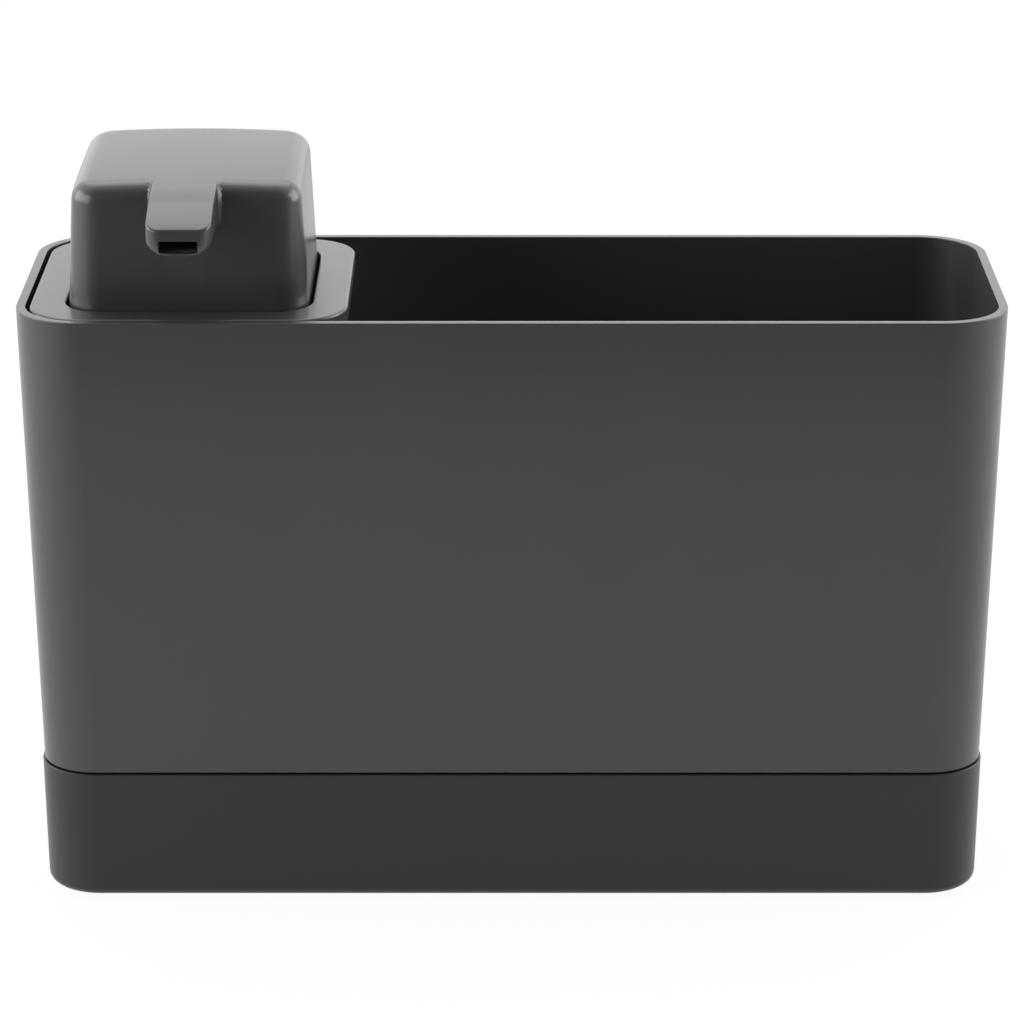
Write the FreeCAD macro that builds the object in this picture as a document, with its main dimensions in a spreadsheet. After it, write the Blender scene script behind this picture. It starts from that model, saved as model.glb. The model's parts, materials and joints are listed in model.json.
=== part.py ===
# Soap pump caddy: an open caddy on a drip tray, with a lift-out soap dispenser at its left end.
# Millimetres. +Z is up, -Y is the front, and the origin is on the table under the middle of the tray.
import FreeCAD, Part
import math
import os
import re

import Sketcher

# Driving sizes, one spreadsheet cell each. Drafts are degrees from the vertical.
SIZES = {
    # Caddy shell
    "rim_length": 230,
    "rim_depth": 78,
    "rim_height": 145,
    "rim_corner": 16,
    "rim_round": 0.55,
    "side_draft": 1.35,
    "wall": 2.2,
    "caddy_floor": 2.2,
    "drain_slots": 10,
    "drain_width": 3.5,
    "drain_margin": 10,
    "drain_roundness": 0.9,
    "stop_rib_height": 12,
    "stop_rib_width": 2,
    # Drip tray and its non-slip pad
    "tray_height": 32.15,
    "tray_proud": 0.45,
    "tray_wall": 2.2,
    "tray_floor": 2,
    "tray_draft": 0.9,
    "tray_base_round": 2.3,
    "seam_gap": 0.6,
    "skirt_fit": 0.5,
    "rest_ribs": 4,
    "rest_rib_height": 11,
    "rest_rib_width": 2,
    "rest_rib_margin": 8,
    "pad_proud": 1,
    "pad_seat": 0.8,
    "pad_width": 7,
    "pad_inset": 9,
    "pad_fit": 0.15,
    # Soap tank and the plate that closes it
    "reservoir_fit": 0.5,
    "reservoir_wall": 2,
    "reservoir_floor": 2,
    "lid_seal_thickness": 1,
    "plate_gap": 0.8,
    "plate_drop": 0.1,
    "plate_extra": 2,
    "plate_thickness": 3,
    "plate_round": 0.8,
    "well_fit": 0.53,
    "well_wall": 1.8,
    "well_floor": 2,
    "well_edge_round": 0.5,
    "well_lip": 0.5,
    # Push cap with its spout lip
    "cap_gap": 1.3,
    "cap_rise": 30.9,
    "cap_sink": 4.9,
    "cap_draft": 2.7,
    "cap_corner": 8,
    "cap_round": 4.2,
    "cap_wall": 1.8,
    "cap_socket_height": 3.8,
    "cap_socket_wall": 1.5,
    "crown_across": 400,
    "crown_along": 600,
    "crown_peak": 15,
    "lip_width": 14.9,
    "lip_reach": 20.9,
    "lip_sink": 0.02,
    "lip_radius": 70,
    "lip_face": 5.95,
    "lip_corner": 3.4,
    "lip_under_round": 3.1,
    "lip_edge_round": 0.5,
    "tip_wall": 1.2,
    "outlet_width": 8.8,
    "outlet_height": 2.6,
    "outlet_floor": 0.5,
    "outlet_corner": 0.5,
    # Inner actuator
    "duct_wall": 0.5,
    "duct_roof": 0.8,
    "duct_fit": 0.1,
    "boss_wall": 1.9,
    "socket_fit": 0.05,
    # Stroke
    "press_stroke": 12,
    "stroke_room": 1,
    # Neck, collar, gasket and guide
    "neck_height": 6,
    "neck_wall": 3.9,
    "neck_fit": 0.3,
    "snap_bead": 0.5,
    "snap_bead_height": 1,
    "collar_fit": 0.2,
    "collar_wall": 2.3,
    "collar_top": 2,
    "collar_lift": 1.5,
    "collar_round": 0.8,
    "collar_hole": 12,
    "gasket_thickness": 1,
    "flange_thickness": 1.5,
    "flange_inset": 0.5,
    "guide_sleeve": 9.5,
    "guide_inset": 2,
    "sleeve_fit": 0.1,
    # Chamber, stem and piston
    "chamber_bore": 12,
    "chamber_wall": 1.8,
    "stem_diameter": 7,
    "stem_bore": 4,
    "stem_fit": 0.1,
    "piston_flange_room": 1,
    "piston_flange_thickness": 1.5,
    "seal_height": 8,
    "seal_fit": 0.05,
    "seal_lip": 1.6,
    "seal_waist": 0.8,
    "piston_rest": 0.2,
    # Return spring
    "spring_wire": 0.9,
    "spring_coil": 8.4,
    "spring_turns": 8,
    "spring_pressed": 14,
    "spring_crowding": 0.55,
    # Check balls
    "ball_gap": 0.1,
    "inlet_ball": 5,
    "inlet_hole": 3.6,
    "inlet_lift": 1.5,
    "inlet_room": 0.7,
    "cage_thickness": 2,
    "cage_slot": 1.3,
    "seat_thickness": 2,
    "outlet_ball": 4.5,
    "outlet_lift": 1.2,
    "outlet_room": 0.35,
    "outlet_depth": 13,
    "retainer_height": 2.2,
    "retainer_hole": 2.6,
    # Dip tube
    "tube_outer": 6,
    "tube_bore": 4,
    "tube_socket": 10,
    "tube_socket_wall": 1.6,
    "tube_fit": 0.05,
    "tube_foot": 2,
}

# Sizes and levels that follow from the driving ones. Lengths run along X, depths along Y, levels up Z.
DERIVED = {
    # Levels of the tray and the caddy
    "tray_bottom": "pad_proud",
    "tray_floor_top": "tray_bottom + tray_floor",
    "caddy_bottom": "tray_floor_top + rest_rib_height",
    "caddy_floor_top": "caddy_bottom + caddy_floor",
    "shoulder": "tray_height + seam_gap",
    "ledge": "shoulder + wall",
    # Sections of the caddy at its shoulder, the tray at its edge, and the skirt inside the tray
    "shoulder_inset": "(rim_height - shoulder) * tan(side_draft)",
    "shoulder_length": "rim_length - 2 * shoulder_inset",
    "shoulder_depth": "rim_depth - 2 * shoulder_inset",
    "shoulder_corner": "rim_corner - shoulder_inset",
    "tray_length": "shoulder_length + 2 * tray_proud",
    "tray_depth": "shoulder_depth + 2 * tray_proud",
    "tray_corner": "shoulder_corner + tray_proud",
    "tray_inset": "(tray_height - tray_bottom) * tan(tray_draft)",
    "skirt_inset": "tray_wall + skirt_fit",
    "skirt_bay_length": "tray_length - 2 * skirt_inset - 2 * wall",
    "skirt_bay_depth": "tray_depth - 2 * skirt_inset - 2 * wall",
    "skirt_bay_corner": "tray_corner - skirt_inset - wall",
    "rest_rib_length": "tray_depth - 2 * tray_inset - 2 * tray_wall - 2 * rest_rib_margin",
    "rest_rib_span": "tray_length * (rest_ribs - 1) / rest_ribs",
    # Plate inside the rim
    "plate_top": "rim_height - plate_drop",
    "plate_bottom": "plate_top - plate_thickness",
    "plate_depth": "rim_depth - 2 * wall - 2 * plate_gap",
    "plate_length": "plate_depth + plate_extra",
    "plate_corner": "rim_corner - wall - plate_gap",
    "pump_x": "plate_length / 2 + plate_gap + wall - rim_length / 2",
    # Soap tank
    "reservoir_top": "plate_bottom - lid_seal_thickness",
    "reservoir_flare": "(reservoir_top - ledge) * tan(side_draft)",
    "reservoir_length": "skirt_bay_length - 2 * reservoir_fit + 2 * pump_x + 2 * reservoir_flare",
    "reservoir_depth": "skirt_bay_depth - 2 * reservoir_fit + 2 * reservoir_flare",
    "reservoir_corner": "skirt_bay_corner - reservoir_fit + reservoir_flare",
    "reservoir_floor_top": "caddy_floor_top + reservoir_floor",
    "stop_rib_x": "pump_x + reservoir_length / 2 - reservoir_flare + reservoir_fit",
    # Well in the plate, and the cap that sinks into it
    "cap_bottom": "plate_top - cap_sink",
    "well_floor_top": "cap_bottom - press_stroke - stroke_room",
    "well_bottom": "well_floor_top - well_floor",
    "well_outer": "reservoir_depth - 2 * (reservoir_top - well_bottom) * tan(side_draft)"
                  " - 2 * reservoir_wall - 2 * well_fit",
    "well_opening": "well_outer - 2 * well_wall",
    "well_corner": "cap_corner + cap_gap",
    "cap_side": "well_opening - 2 * cap_gap",
    "cap_flare": "cap_sink * tan(cap_draft)",
    "cap_top": "plate_top + cap_rise",
    # Crown of the cap and the lip that runs on from it
    "root_sine": "(cap_side / 2 + crown_peak) / crown_along",
    "root_cosine": "sqrt(1 - root_sine ^ 2)",
    "tip_sine": "root_sine + lip_reach / lip_radius",
    "tip_cosine": "sqrt(1 - tip_sine ^ 2)",
    "root_top": "cap_top - crown_along * (1 - root_cosine)",
    "tip_top": "root_top - lip_radius * (root_cosine - tip_cosine)",
    "tip_y": "-(cap_side / 2 + lip_reach)",
    "lip_bottom": "tip_top - lip_face",
    "outlet_bottom": "lip_bottom + outlet_floor",
    "outlet_top": "outlet_bottom + outlet_height",
    "duct_top": "outlet_top + duct_roof",
    "duct_width": "outlet_width + 2 * duct_wall",
    "duct_front": "tip_y + tip_wall + duct_fit",
    "cap_ceiling": "duct_top + duct_fit + cap_socket_height",
    # Pump stack on the neck
    "chamber_outer": "chamber_bore + 2 * chamber_wall",
    "neck_bore": "chamber_outer + 2 * neck_fit",
    "neck_outer": "neck_bore + 2 * neck_wall",
    "neck_top": "well_floor_top + neck_height",
    "neck_bead_top": "neck_top - snap_bead_height",
    "neck_bead_bottom": "neck_bead_top - snap_bead_height",
    "flange_outer": "neck_outer - 2 * flange_inset",
    "flange_bottom": "neck_top + gasket_thickness",
    "flange_top": "flange_bottom + flange_thickness",
    "guide_top": "flange_top + flange_thickness",
    "guide_outer": "flange_outer - 2 * guide_inset",
    "guide_bottom": "flange_top - guide_sleeve",
    "collar_bottom": "well_floor_top + collar_lift",
    "collar_summit": "guide_top + collar_top",
    "collar_bore": "neck_outer + 2 * snap_bead + 2 * collar_fit",
    "collar_lip_bore": "neck_outer + 2 * collar_fit",
    "collar_lip_top": "neck_bead_bottom - collar_fit",
    "collar_outer": "collar_bore + 2 * collar_wall",
    # Stem, piston and spring
    "piston_flange": "chamber_bore - 2 * piston_flange_room",
    "boss_bottom": "collar_summit + press_stroke + stroke_room",
    "stem_top": "lip_bottom - duct_wall",
    "seal_top": "guide_bottom - piston_rest",
    "seal_bottom": "seal_top - seal_height",
    "stem_bottom": "seal_bottom - piston_flange_thickness",
    "spring_bottom": "stem_bottom - spring_pressed - press_stroke",
    # Valve pockets
    "cage_bottom": "spring_bottom - cage_thickness",
    "inlet_seat_rise": "sqrt((inlet_ball / 2) ^ 2 - (inlet_hole / 2) ^ 2) + ball_gap",
    "inlet_seat": "cage_bottom - inlet_seat_rise - inlet_lift - inlet_ball / 2 - ball_gap",
    "inlet_centre": "inlet_seat + inlet_seat_rise",
    "inlet_pocket": "inlet_ball + 2 * inlet_room",
    "tube_top": "inlet_seat - seat_thickness",
    "socket_bottom": "tube_top - tube_socket",
    "socket_outer": "tube_outer + 2 * tube_fit + 2 * tube_socket_wall",
    "outlet_seat": "stem_top - outlet_depth",
    "outlet_bore": "outlet_ball + 2 * outlet_room",
    "outlet_seat_rise": "sqrt((outlet_ball / 2) ^ 2 - (stem_bore / 2) ^ 2) + ball_gap",
    "outlet_centre": "outlet_seat + outlet_seat_rise",
    "retainer_bottom": "outlet_centre + outlet_lift + outlet_ball / 2 + ball_gap",
}

# How far a cutting outline runs past the solid that it cuts, and the angle that the crown's cut sweeps
OVERRUN = 10
CROWN_SWEEP = 30

doc = FreeCAD.newDocument("soap_pump_caddy")
sheet = doc.addObject("Spreadsheet::Sheet", "sizes")
for row, (size_name, size) in enumerate(SIZES.items(), start=1):
    sheet.set("A%d" % row, str(size))
    sheet.setAlias("A%d" % row, size_name)
doc.recompute()


# Formulas

def formula(text):
    """Spell a formula out: a driving size becomes its cell, a derived size its own formula."""
    def spell(match):
        word = match.group(0)
        if word in DERIVED:
            return "(" + formula(DERIVED[word]) + ")"
        if word in SIZES:
            return "sizes." + word
        return word
    return re.sub(r"[a-z_]+", spell, text)


def value(text):
    """Work a formula out as a number."""
    return float(sheet.evalExpression(formula(text)))


def bind(thing, prop, text):
    """Tie a property to a formula."""
    thing.setExpression(prop, formula(text))


# Bodies, sketches and features

def new_body(label, x="0"):
    """Start a body whose own Z axis stands at x."""
    body = doc.addObject("PartDesign::Body", label)
    body.Label = label
    bind(body, "Placement.Base.x", x)
    return body


def new_sketch(body, name, role="XY_Plane", height="0", x="0"):
    """Start a sketch on one of the body's origin planes, moved along the plane's normal and along X."""
    sketch = body.newObject("Sketcher::SketchObject", name)
    plane = [feature for feature in body.Origin.OriginFeatures if feature.Role == role][0]
    sketch.AttachmentSupport = [(plane, "")]
    sketch.MapMode = "FlatFace"
    bind(sketch, "AttachmentOffset.Base.x", x)
    bind(sketch, "AttachmentOffset.Base.z", height)
    return sketch


def limit(sketch, name, text, *constraint):
    """Add a constraint with a size, and tie the size to a formula."""
    index = sketch.addConstraint(Sketcher.Constraint(*constraint, value(text)))
    sketch.renameConstraint(index, name)
    bind(sketch, "Constraints." + name, text)


def outline(sketch, points):
    """Draw a closed outline of straight lines through points given as pairs of formulas."""
    places = [FreeCAD.Vector(value(across), value(up), 0) for across, up in points]
    count = len(places)
    lines = [sketch.addGeometry(Part.LineSegment(places[i], places[(i + 1) % count])) for i in range(count)]
    for i in range(count):
        sketch.addConstraint(Sketcher.Constraint("Coincident", lines[i], 2, lines[(i + 1) % count], 1))
        limit(sketch, "across%d" % i, points[i][0], "DistanceX", -1, 1, lines[i], 1)
        limit(sketch, "up%d" % i, points[i][1], "DistanceY", -1, 1, lines[i], 1)
    return sketch


def circle(sketch, diameter, prefix=""):
    """Draw a circle round the sketch's origin."""
    ring = sketch.addGeometry(Part.Circle(FreeCAD.Vector(), FreeCAD.Vector(0, 0, 1), value(diameter) / 2))
    sketch.addConstraint(Sketcher.Constraint("Coincident", ring, 3, -1, 1))
    limit(sketch, prefix + "diameter", diameter, "Diameter", ring)
    return sketch


def rounded(sketch, length, depth, corner, prefix="", y="0"):
    """Draw a rectangle with rounded corners, centred on the sketch's vertical axis at y."""
    radius = value(corner)
    half_length = value(length) / 2 - radius
    half_depth = value(depth) / 2 - radius
    middle = value(y)
    lines = []
    arcs = []
    ends = []
    for turn, (right, back) in enumerate(((1, -1), (1, 1), (-1, 1), (-1, -1))):
        centre = FreeCAD.Vector(right * half_length, middle + back * half_depth, 0)
        start = math.radians(90 * (turn - 1))
        arcs.append(Part.ArcOfCircle(Part.Circle(centre, FreeCAD.Vector(0, 0, 1), radius),
                                     start, start + math.pi / 2))
        ends.append((arcs[-1].StartPoint, arcs[-1].EndPoint))
    for turn in range(4):
        lines.append(sketch.addGeometry(Part.LineSegment(ends[turn - 1][1], ends[turn][0])))
    arcs = [sketch.addGeometry(arc) for arc in arcs]
    for turn in range(4):
        sketch.addConstraint(Sketcher.Constraint("Tangent", lines[turn], 2, arcs[turn], 1))
        sketch.addConstraint(Sketcher.Constraint("Tangent", arcs[turn], 2, lines[(turn + 1) % 4], 1))
    for turn in range(1, 4):
        sketch.addConstraint(Sketcher.Constraint("Vertical" if turn % 2 else "Horizontal", lines[turn]))
        sketch.addConstraint(Sketcher.Constraint("Equal", arcs[0], arcs[turn]))
    sketch.addConstraint(Sketcher.Constraint("Symmetric", lines[0], 1, lines[0], 2, -2))
    limit(sketch, prefix + "corner", corner, "Radius", arcs[0])
    limit(sketch, prefix + "length", length, "DistanceX", lines[3], 1, lines[1], 1)
    limit(sketch, prefix + "depth", depth, "DistanceY", lines[0], 1, lines[2], 1)
    limit(sketch, prefix + "front", "%s - (%s) / 2" % (y, depth), "DistanceY", -1, 1, lines[0], 1)
    return sketch


def solid(body, sketch, height, up=True, taper="0"):
    """Pad a sketch. A positive taper widens it as it goes."""
    pad = body.newObject("PartDesign::Pad", sketch.Name + "_pad")
    pad.Profile = sketch
    pad.Reversed = not up
    bind(pad, "Length", height)
    bind(pad, "TaperAngle", taper)
    return pad


def cut(body, sketch, depth, up=False, taper="0"):
    """Pocket a sketch. A positive taper widens it as it goes. It has to take material away."""
    doc.recompute()
    before = body.Shape.Volume
    pocket = body.newObject("PartDesign::Pocket", sketch.Name + "_pocket")
    pocket.Profile = sketch
    pocket.Reversed = up
    bind(pocket, "Length", depth)
    bind(pocket, "TaperAngle", taper)
    doc.recompute()
    if not body.Shape.Volume < before:
        raise RuntimeError("%s cuts nothing" % pocket.Label)
    return pocket


def soften(body, name, radius, wanted):
    """Round the edges of the body so far that a test on their boxes picks out."""
    doc.recompute()
    base = body.Tip
    picked = ["Edge%d" % number for number, edge in enumerate(base.Shape.Edges, start=1)
              if wanted(edge.BoundBox)]
    fillet = body.newObject("PartDesign::Fillet", name)
    fillet.Base = (base, picked)
    bind(fillet, "Radius", radius)
    return fillet


def repeat(body, feature, name, span, count):
    """Repeat a feature along X, over a span, a counted number of times."""
    row_of = body.newObject("PartDesign::LinearPattern", name)
    row_of.Originals = [feature]
    row_of.Direction = (feature.Profile[0], ["H_Axis"])
    bind(row_of, "Length", span)
    bind(row_of, "Occurrences", count)
    body.Tip = row_of
    return row_of


def turned(label, points, x="pump_x"):
    """Make a body by turning an outline of (radius, level) pairs about its own Z axis."""
    body = new_body(label, x)
    sketch = outline(new_sketch(body, label + "_outline", "XZ_Plane"), points)
    turn = body.newObject("PartDesign::Revolution", label + "_turn")
    turn.Profile = sketch
    turn.ReferenceAxis = (sketch, ["V_Axis"])
    return body


def near(number, text):
    """Tell whether a number is a formula's value, to a hundredth of a millimetre."""
    return abs(number - value(text)) < 0.01


# Caddy and tray

def caddy_body():
    """The tall shell: tapered walls, a skirt that drops into the tray, and a drain floor."""
    body = new_body("caddy_body")
    shell = rounded(new_sketch(body, "shell", height="rim_height"), "rim_length", "rim_depth", "rim_corner")
    solid(body, shell, "rim_height - shoulder", up=False, taper="-side_draft")
    skirt = rounded(new_sketch(body, "skirt", height="shoulder"), "tray_length - 2 * skirt_inset",
                    "tray_depth - 2 * skirt_inset", "tray_corner - skirt_inset")
    solid(body, skirt, "shoulder - caddy_bottom", up=False, taper="-tray_draft")
    bay = rounded(new_sketch(body, "bay", height="rim_height"), "rim_length - 2 * wall",
                  "rim_depth - 2 * wall", "rim_corner - wall")
    cut(body, bay, "rim_height - ledge", taper="-side_draft")
    well = rounded(new_sketch(body, "skirt_bay", height="ledge"), "skirt_bay_length", "skirt_bay_depth",
                   "skirt_bay_corner")
    cut(body, well, "ledge - caddy_floor_top", taper="-tray_draft")
    soften(body, "rim_softened", "rim_round", lambda box: near(box.ZMin, "rim_height"))
    stop_rib(body)
    drain_slots(body)
    return body


def stop_rib(body):
    """The low rib on the caddy floor that keeps the soap tank at the left end."""
    half = "skirt_bay_depth / 2"
    far = "stop_rib_x + stop_rib_width"
    rib = outline(new_sketch(body, "stop_rib", height="caddy_floor_top"),
                  [("stop_rib_x", "-" + half), (far, "-" + half), (far, half), ("stop_rib_x", half)])
    solid(body, rib, "stop_rib_height")


def drain_slots(body):
    """The row of round-ended drain slots through the floor of the open bay."""
    first = "stop_rib_x + stop_rib_width + drain_margin"
    slot = rounded(new_sketch(body, "drain_slot", height="caddy_floor_top", x=first), "drain_width",
                   "skirt_bay_depth - 2 * drain_margin", "drain_width * drain_roundness / 2")
    opening = cut(body, slot, "caddy_floor")
    span = "skirt_bay_length / 2 - drain_margin - (%s)" % first
    repeat(body, opening, "drain_row", span, "drain_slots")


def drip_tray():
    """The low tray, with ribs that carry the caddy and a groove for the pad underneath."""
    body = new_body("drip_tray")
    pan = rounded(new_sketch(body, "pan", height="tray_height"), "tray_length", "tray_depth", "tray_corner")
    solid(body, pan, "tray_height - tray_bottom", up=False, taper="-tray_draft")
    soften(body, "base_softened", "tray_base_round", lambda box: near(box.ZMax, "tray_bottom"))
    hollow = rounded(new_sketch(body, "hollow", height="tray_height"), "tray_length - 2 * tray_wall",
                     "tray_depth - 2 * tray_wall", "tray_corner - tray_wall")
    cut(body, hollow, "tray_height - tray_floor_top", taper="-tray_draft")
    groove = new_sketch(body, "pad_groove", height="tray_bottom")
    pad_outline(groove, "pad_fit")
    cut(body, groove, "pad_seat", up=True)
    left = "-(rest_rib_span + rest_rib_width) / 2"
    right = "-(rest_rib_span - rest_rib_width) / 2"
    half = "rest_rib_length / 2"
    rib = outline(new_sketch(body, "rest_rib", height="tray_floor_top"),
                  [(left, "-" + half), (right, "-" + half), (right, half), (left, half)])
    repeat(body, solid(body, rib, "rest_rib_height"), "rest_rib_row", "rest_rib_span", "rest_ribs")
    return body


def pad_outline(sketch, room):
    """Draw the pad's ring, wider all round by the room that its groove needs."""
    length = "tray_length - 2 * tray_inset - 2 * pad_inset"
    depth = "tray_depth - 2 * tray_inset - 2 * pad_inset"
    corner = "tray_corner - tray_inset - pad_inset + pad_width"
    rounded(sketch, "%s + 2 * %s" % (length, room), "%s + 2 * %s" % (depth, room),
            "%s + %s" % (corner, room), "outer_")
    rounded(sketch, "%s - 2 * pad_width - 2 * %s" % (length, room),
            "%s - 2 * pad_width - 2 * %s" % (depth, room), "%s - pad_width - %s" % (corner, room), "inner_")


def base_pad():
    """The non-slip ring in the groove under the tray."""
    body = new_body("base_pad")
    ring = new_sketch(body, "pad_ring")
    pad_outline(ring, "0")
    solid(body, ring, "pad_proud + pad_seat")
    return body


# Soap tank and its lid

def soap_reservoir():
    """The open-topped soap tank, tapered like the caddy round it."""
    body = new_body("soap_reservoir", "pump_x")
    tank = rounded(new_sketch(body, "tank", height="reservoir_top"), "reservoir_length", "reservoir_depth",
                   "reservoir_corner")
    solid(body, tank, "reservoir_top - caddy_floor_top", up=False, taper="-side_draft")
    inside = rounded(new_sketch(body, "tank_inside", height="reservoir_top"),
                     "reservoir_length - 2 * reservoir_wall", "reservoir_depth - 2 * reservoir_wall",
                     "reservoir_corner - reservoir_wall")
    cut(body, inside, "reservoir_top - reservoir_floor_top", taper="-side_draft")
    return body


def lid_seal():
    """The flat seal between the tank's rim and the plate."""
    body = new_body("lid_seal", "pump_x")
    ring = new_sketch(body, "seal_ring", height="reservoir_top")
    rounded(ring, "reservoir_length", "reservoir_depth", "reservoir_corner", "outer_")
    rounded(ring, "reservoir_length - 2 * reservoir_wall", "reservoir_depth - 2 * reservoir_wall",
            "reservoir_corner - reservoir_wall", "inner_")
    solid(body, ring, "lid_seal_thickness")
    return body


def lid_plate():
    """The plate inside the rim, with the well for the cap and the neck that carries the pump."""
    body = new_body("lid_plate", "pump_x")
    plate = rounded(new_sketch(body, "plate", height="plate_top"), "plate_length", "plate_depth",
                    "plate_corner")
    solid(body, plate, "plate_thickness", up=False)
    tub = rounded(new_sketch(body, "well_outside", height="plate_bottom"), "well_outer", "well_outer",
                  "well_corner + well_wall")
    solid(body, tub, "plate_bottom - well_bottom", up=False)
    mouth = rounded(new_sketch(body, "well_mouth", height="plate_top"), "well_opening - 2 * well_lip",
                    "well_opening - 2 * well_lip", "well_corner - well_lip")
    cut(body, mouth, "plate_thickness")
    well = rounded(new_sketch(body, "well_inside", height="plate_bottom"), "well_opening", "well_opening",
                   "well_corner")
    cut(body, well, "plate_bottom - well_floor_top")
    soften(body, "plate_softened", "plate_round",
           lambda box: near(box.ZMin, "plate_top") and max(abs(box.XMin), box.XMax, box.YMax, abs(box.YMin))
           > value("well_outer / 2"))
    soften(body, "well_softened", "well_edge_round",
           lambda box: near(box.ZMin, "plate_top") and max(abs(box.XMin), box.XMax, box.YMax, abs(box.YMin))
           < value("well_outer / 2"))
    neck_radius = "neck_outer / 2"
    bead_radius = "neck_outer / 2 + snap_bead"
    neck = outline(new_sketch(body, "neck", "XZ_Plane"),
                   [("neck_bore / 2", "well_bottom"), (neck_radius, "well_bottom"),
                    (neck_radius, "neck_bead_bottom"), (bead_radius, "neck_bead_bottom"),
                    (bead_radius, "neck_bead_top"), (neck_radius, "neck_bead_top"),
                    (neck_radius, "neck_top"), ("neck_bore / 2", "neck_top")])
    turn = body.newObject("PartDesign::Revolution", "neck_turn")
    turn.Profile = neck
    turn.ReferenceAxis = (neck, ["V_Axis"])
    bore = circle(new_sketch(body, "neck_opening", height="neck_top"), "neck_bore")
    cut(body, bore, "neck_top - well_bottom")
    return body


# Pump on the neck

def chamber_gasket():
    """The washer between the neck and the chamber's flange."""
    inner = "neck_bore / 2"
    outer = "flange_outer / 2"
    return turned("chamber_gasket", [(inner, "neck_top"), (outer, "neck_top"), (outer, "flange_bottom"),
                                     (inner, "flange_bottom")])


def pump_chamber():
    """The pump cylinder: flange, barrel, inlet ball pocket, seat and dip tube socket."""
    barrel_bottom = "cage_bottom - chamber_wall"
    socket_bore = "tube_outer / 2 + tube_fit"
    return turned("pump_chamber", [
        ("chamber_bore / 2", "flange_top"), ("flange_outer / 2", "flange_top"),
        ("flange_outer / 2", "flange_bottom"), ("chamber_outer / 2", "flange_bottom"),
        ("chamber_outer / 2", barrel_bottom), ("socket_outer / 2", barrel_bottom),
        ("socket_outer / 2", "socket_bottom"), (socket_bore, "socket_bottom"), (socket_bore, "tube_top"),
        ("inlet_hole / 2", "tube_top"), ("inlet_hole / 2", "inlet_seat"), ("inlet_pocket / 2", "inlet_seat"),
        ("inlet_pocket / 2", "cage_bottom"), ("chamber_bore / 2", "cage_bottom")])


def stem_guide():
    """The flanged bush that guides the stem and stops the piston at the top."""
    inner = "stem_diameter / 2 + stem_fit"
    sleeve = "chamber_bore / 2 - sleeve_fit"
    return turned("stem_guide", [
        (inner, "guide_bottom"), (sleeve, "guide_bottom"), (sleeve, "flange_top"),
        ("guide_outer / 2", "flange_top"), ("guide_outer / 2", "guide_top"), (inner, "guide_top")])


def pump_collar():
    """The collar that snaps over the neck's bead and clamps the guide, chamber and gasket."""
    body = turned("pump_collar", [
        ("collar_lip_bore / 2", "collar_bottom"), ("collar_outer / 2", "collar_bottom"),
        ("collar_outer / 2", "collar_summit"), ("collar_hole / 2", "collar_summit"),
        ("collar_hole / 2", "guide_top"), ("collar_bore / 2", "guide_top"),
        ("collar_bore / 2", "collar_lip_top"), ("collar_lip_bore / 2", "collar_lip_top")])
    soften(body, "collar_softened", "collar_round",
           lambda box: near(box.ZMin, "collar_summit") and near(box.XMax, "collar_outer / 2"))
    return body


def ball_cage():
    """The slotted disc that keeps the inlet ball in its pocket and carries the spring."""
    disc = "chamber_bore / 2 - sleeve_fit"
    hole = "inlet_hole / 2"
    body = turned("ball_cage", [(hole, "cage_bottom"), (disc, "cage_bottom"), (disc, "spring_bottom"),
                                (hole, "spring_bottom")])
    half_width = "cage_slot / 2"
    half_length = "inlet_pocket / 2"
    slot = outline(new_sketch(body, "cage_slot", height="spring_bottom"),
                   [("-" + half_length, "-" + half_width), (half_length, "-" + half_width),
                    (half_length, half_width), ("-" + half_length, half_width)])
    opening = cut(body, slot, "cage_thickness")
    cross = body.newObject("PartDesign::PolarPattern", "cage_cross")
    cross.Originals = [opening]
    cross.Axis = (slot, ["N_Axis"])
    cross.Angle = 180
    cross.Occurrences = 2
    body.Tip = cross
    return body


def dip_tube():
    """The tube from the chamber's socket down to the tank floor."""
    inner = "tube_bore / 2"
    outer = "tube_outer / 2"
    foot = "reservoir_floor_top + tube_foot"
    return turned("dip_tube", [(inner, foot), (outer, foot), (outer, "tube_top"), (inner, "tube_top")])


# Moving pump parts

def piston_stem():
    """The hollow stem, with the piston flange at its foot and the outlet ball's pocket at its top."""
    flange_top = "stem_bottom + piston_flange_thickness"
    return turned("piston_stem", [
        ("stem_bore / 2", "stem_bottom"), ("piston_flange / 2", "stem_bottom"),
        ("piston_flange / 2", flange_top), ("stem_diameter / 2", flange_top),
        ("stem_diameter / 2", "stem_top"), ("outlet_bore / 2", "stem_top"),
        ("outlet_bore / 2", "outlet_seat"), ("stem_bore / 2", "outlet_seat")])


def piston_seal():
    """The sleeve on the stem with a lip at each end that wipes the chamber."""
    inner = "stem_diameter / 2 + seal_fit"
    lip = "chamber_bore / 2 - seal_fit"
    waist = lip + " - seal_waist"
    return turned("piston_seal", [
        (inner, "seal_bottom"), (lip, "seal_bottom"), (lip, "seal_bottom + seal_lip / 2"),
        (waist, "seal_bottom + seal_lip"), (waist, "seal_top - seal_lip"), (lip, "seal_top - seal_lip / 2"),
        (lip, "seal_top"), (inner, "seal_top")])


def ball_retainer():
    """The ring pressed into the stem above the outlet ball."""
    inner = "retainer_hole / 2"
    outer = "outlet_bore / 2 - socket_fit"
    top = "retainer_bottom + retainer_height"
    return turned("ball_retainer", [(inner, "retainer_bottom"), (outer, "retainer_bottom"), (outer, top),
                                    (inner, top)])


def check_ball(label, diameter, centre):
    """A steel check ball on the pump's axis."""
    ball = doc.addObject("Part::Sphere", label)
    ball.Label = label
    bind(ball, "Radius", diameter + " / 2")
    bind(ball, "Placement.Base.x", "pump_x")
    bind(ball, "Placement.Base.z", centre)
    return ball


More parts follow.
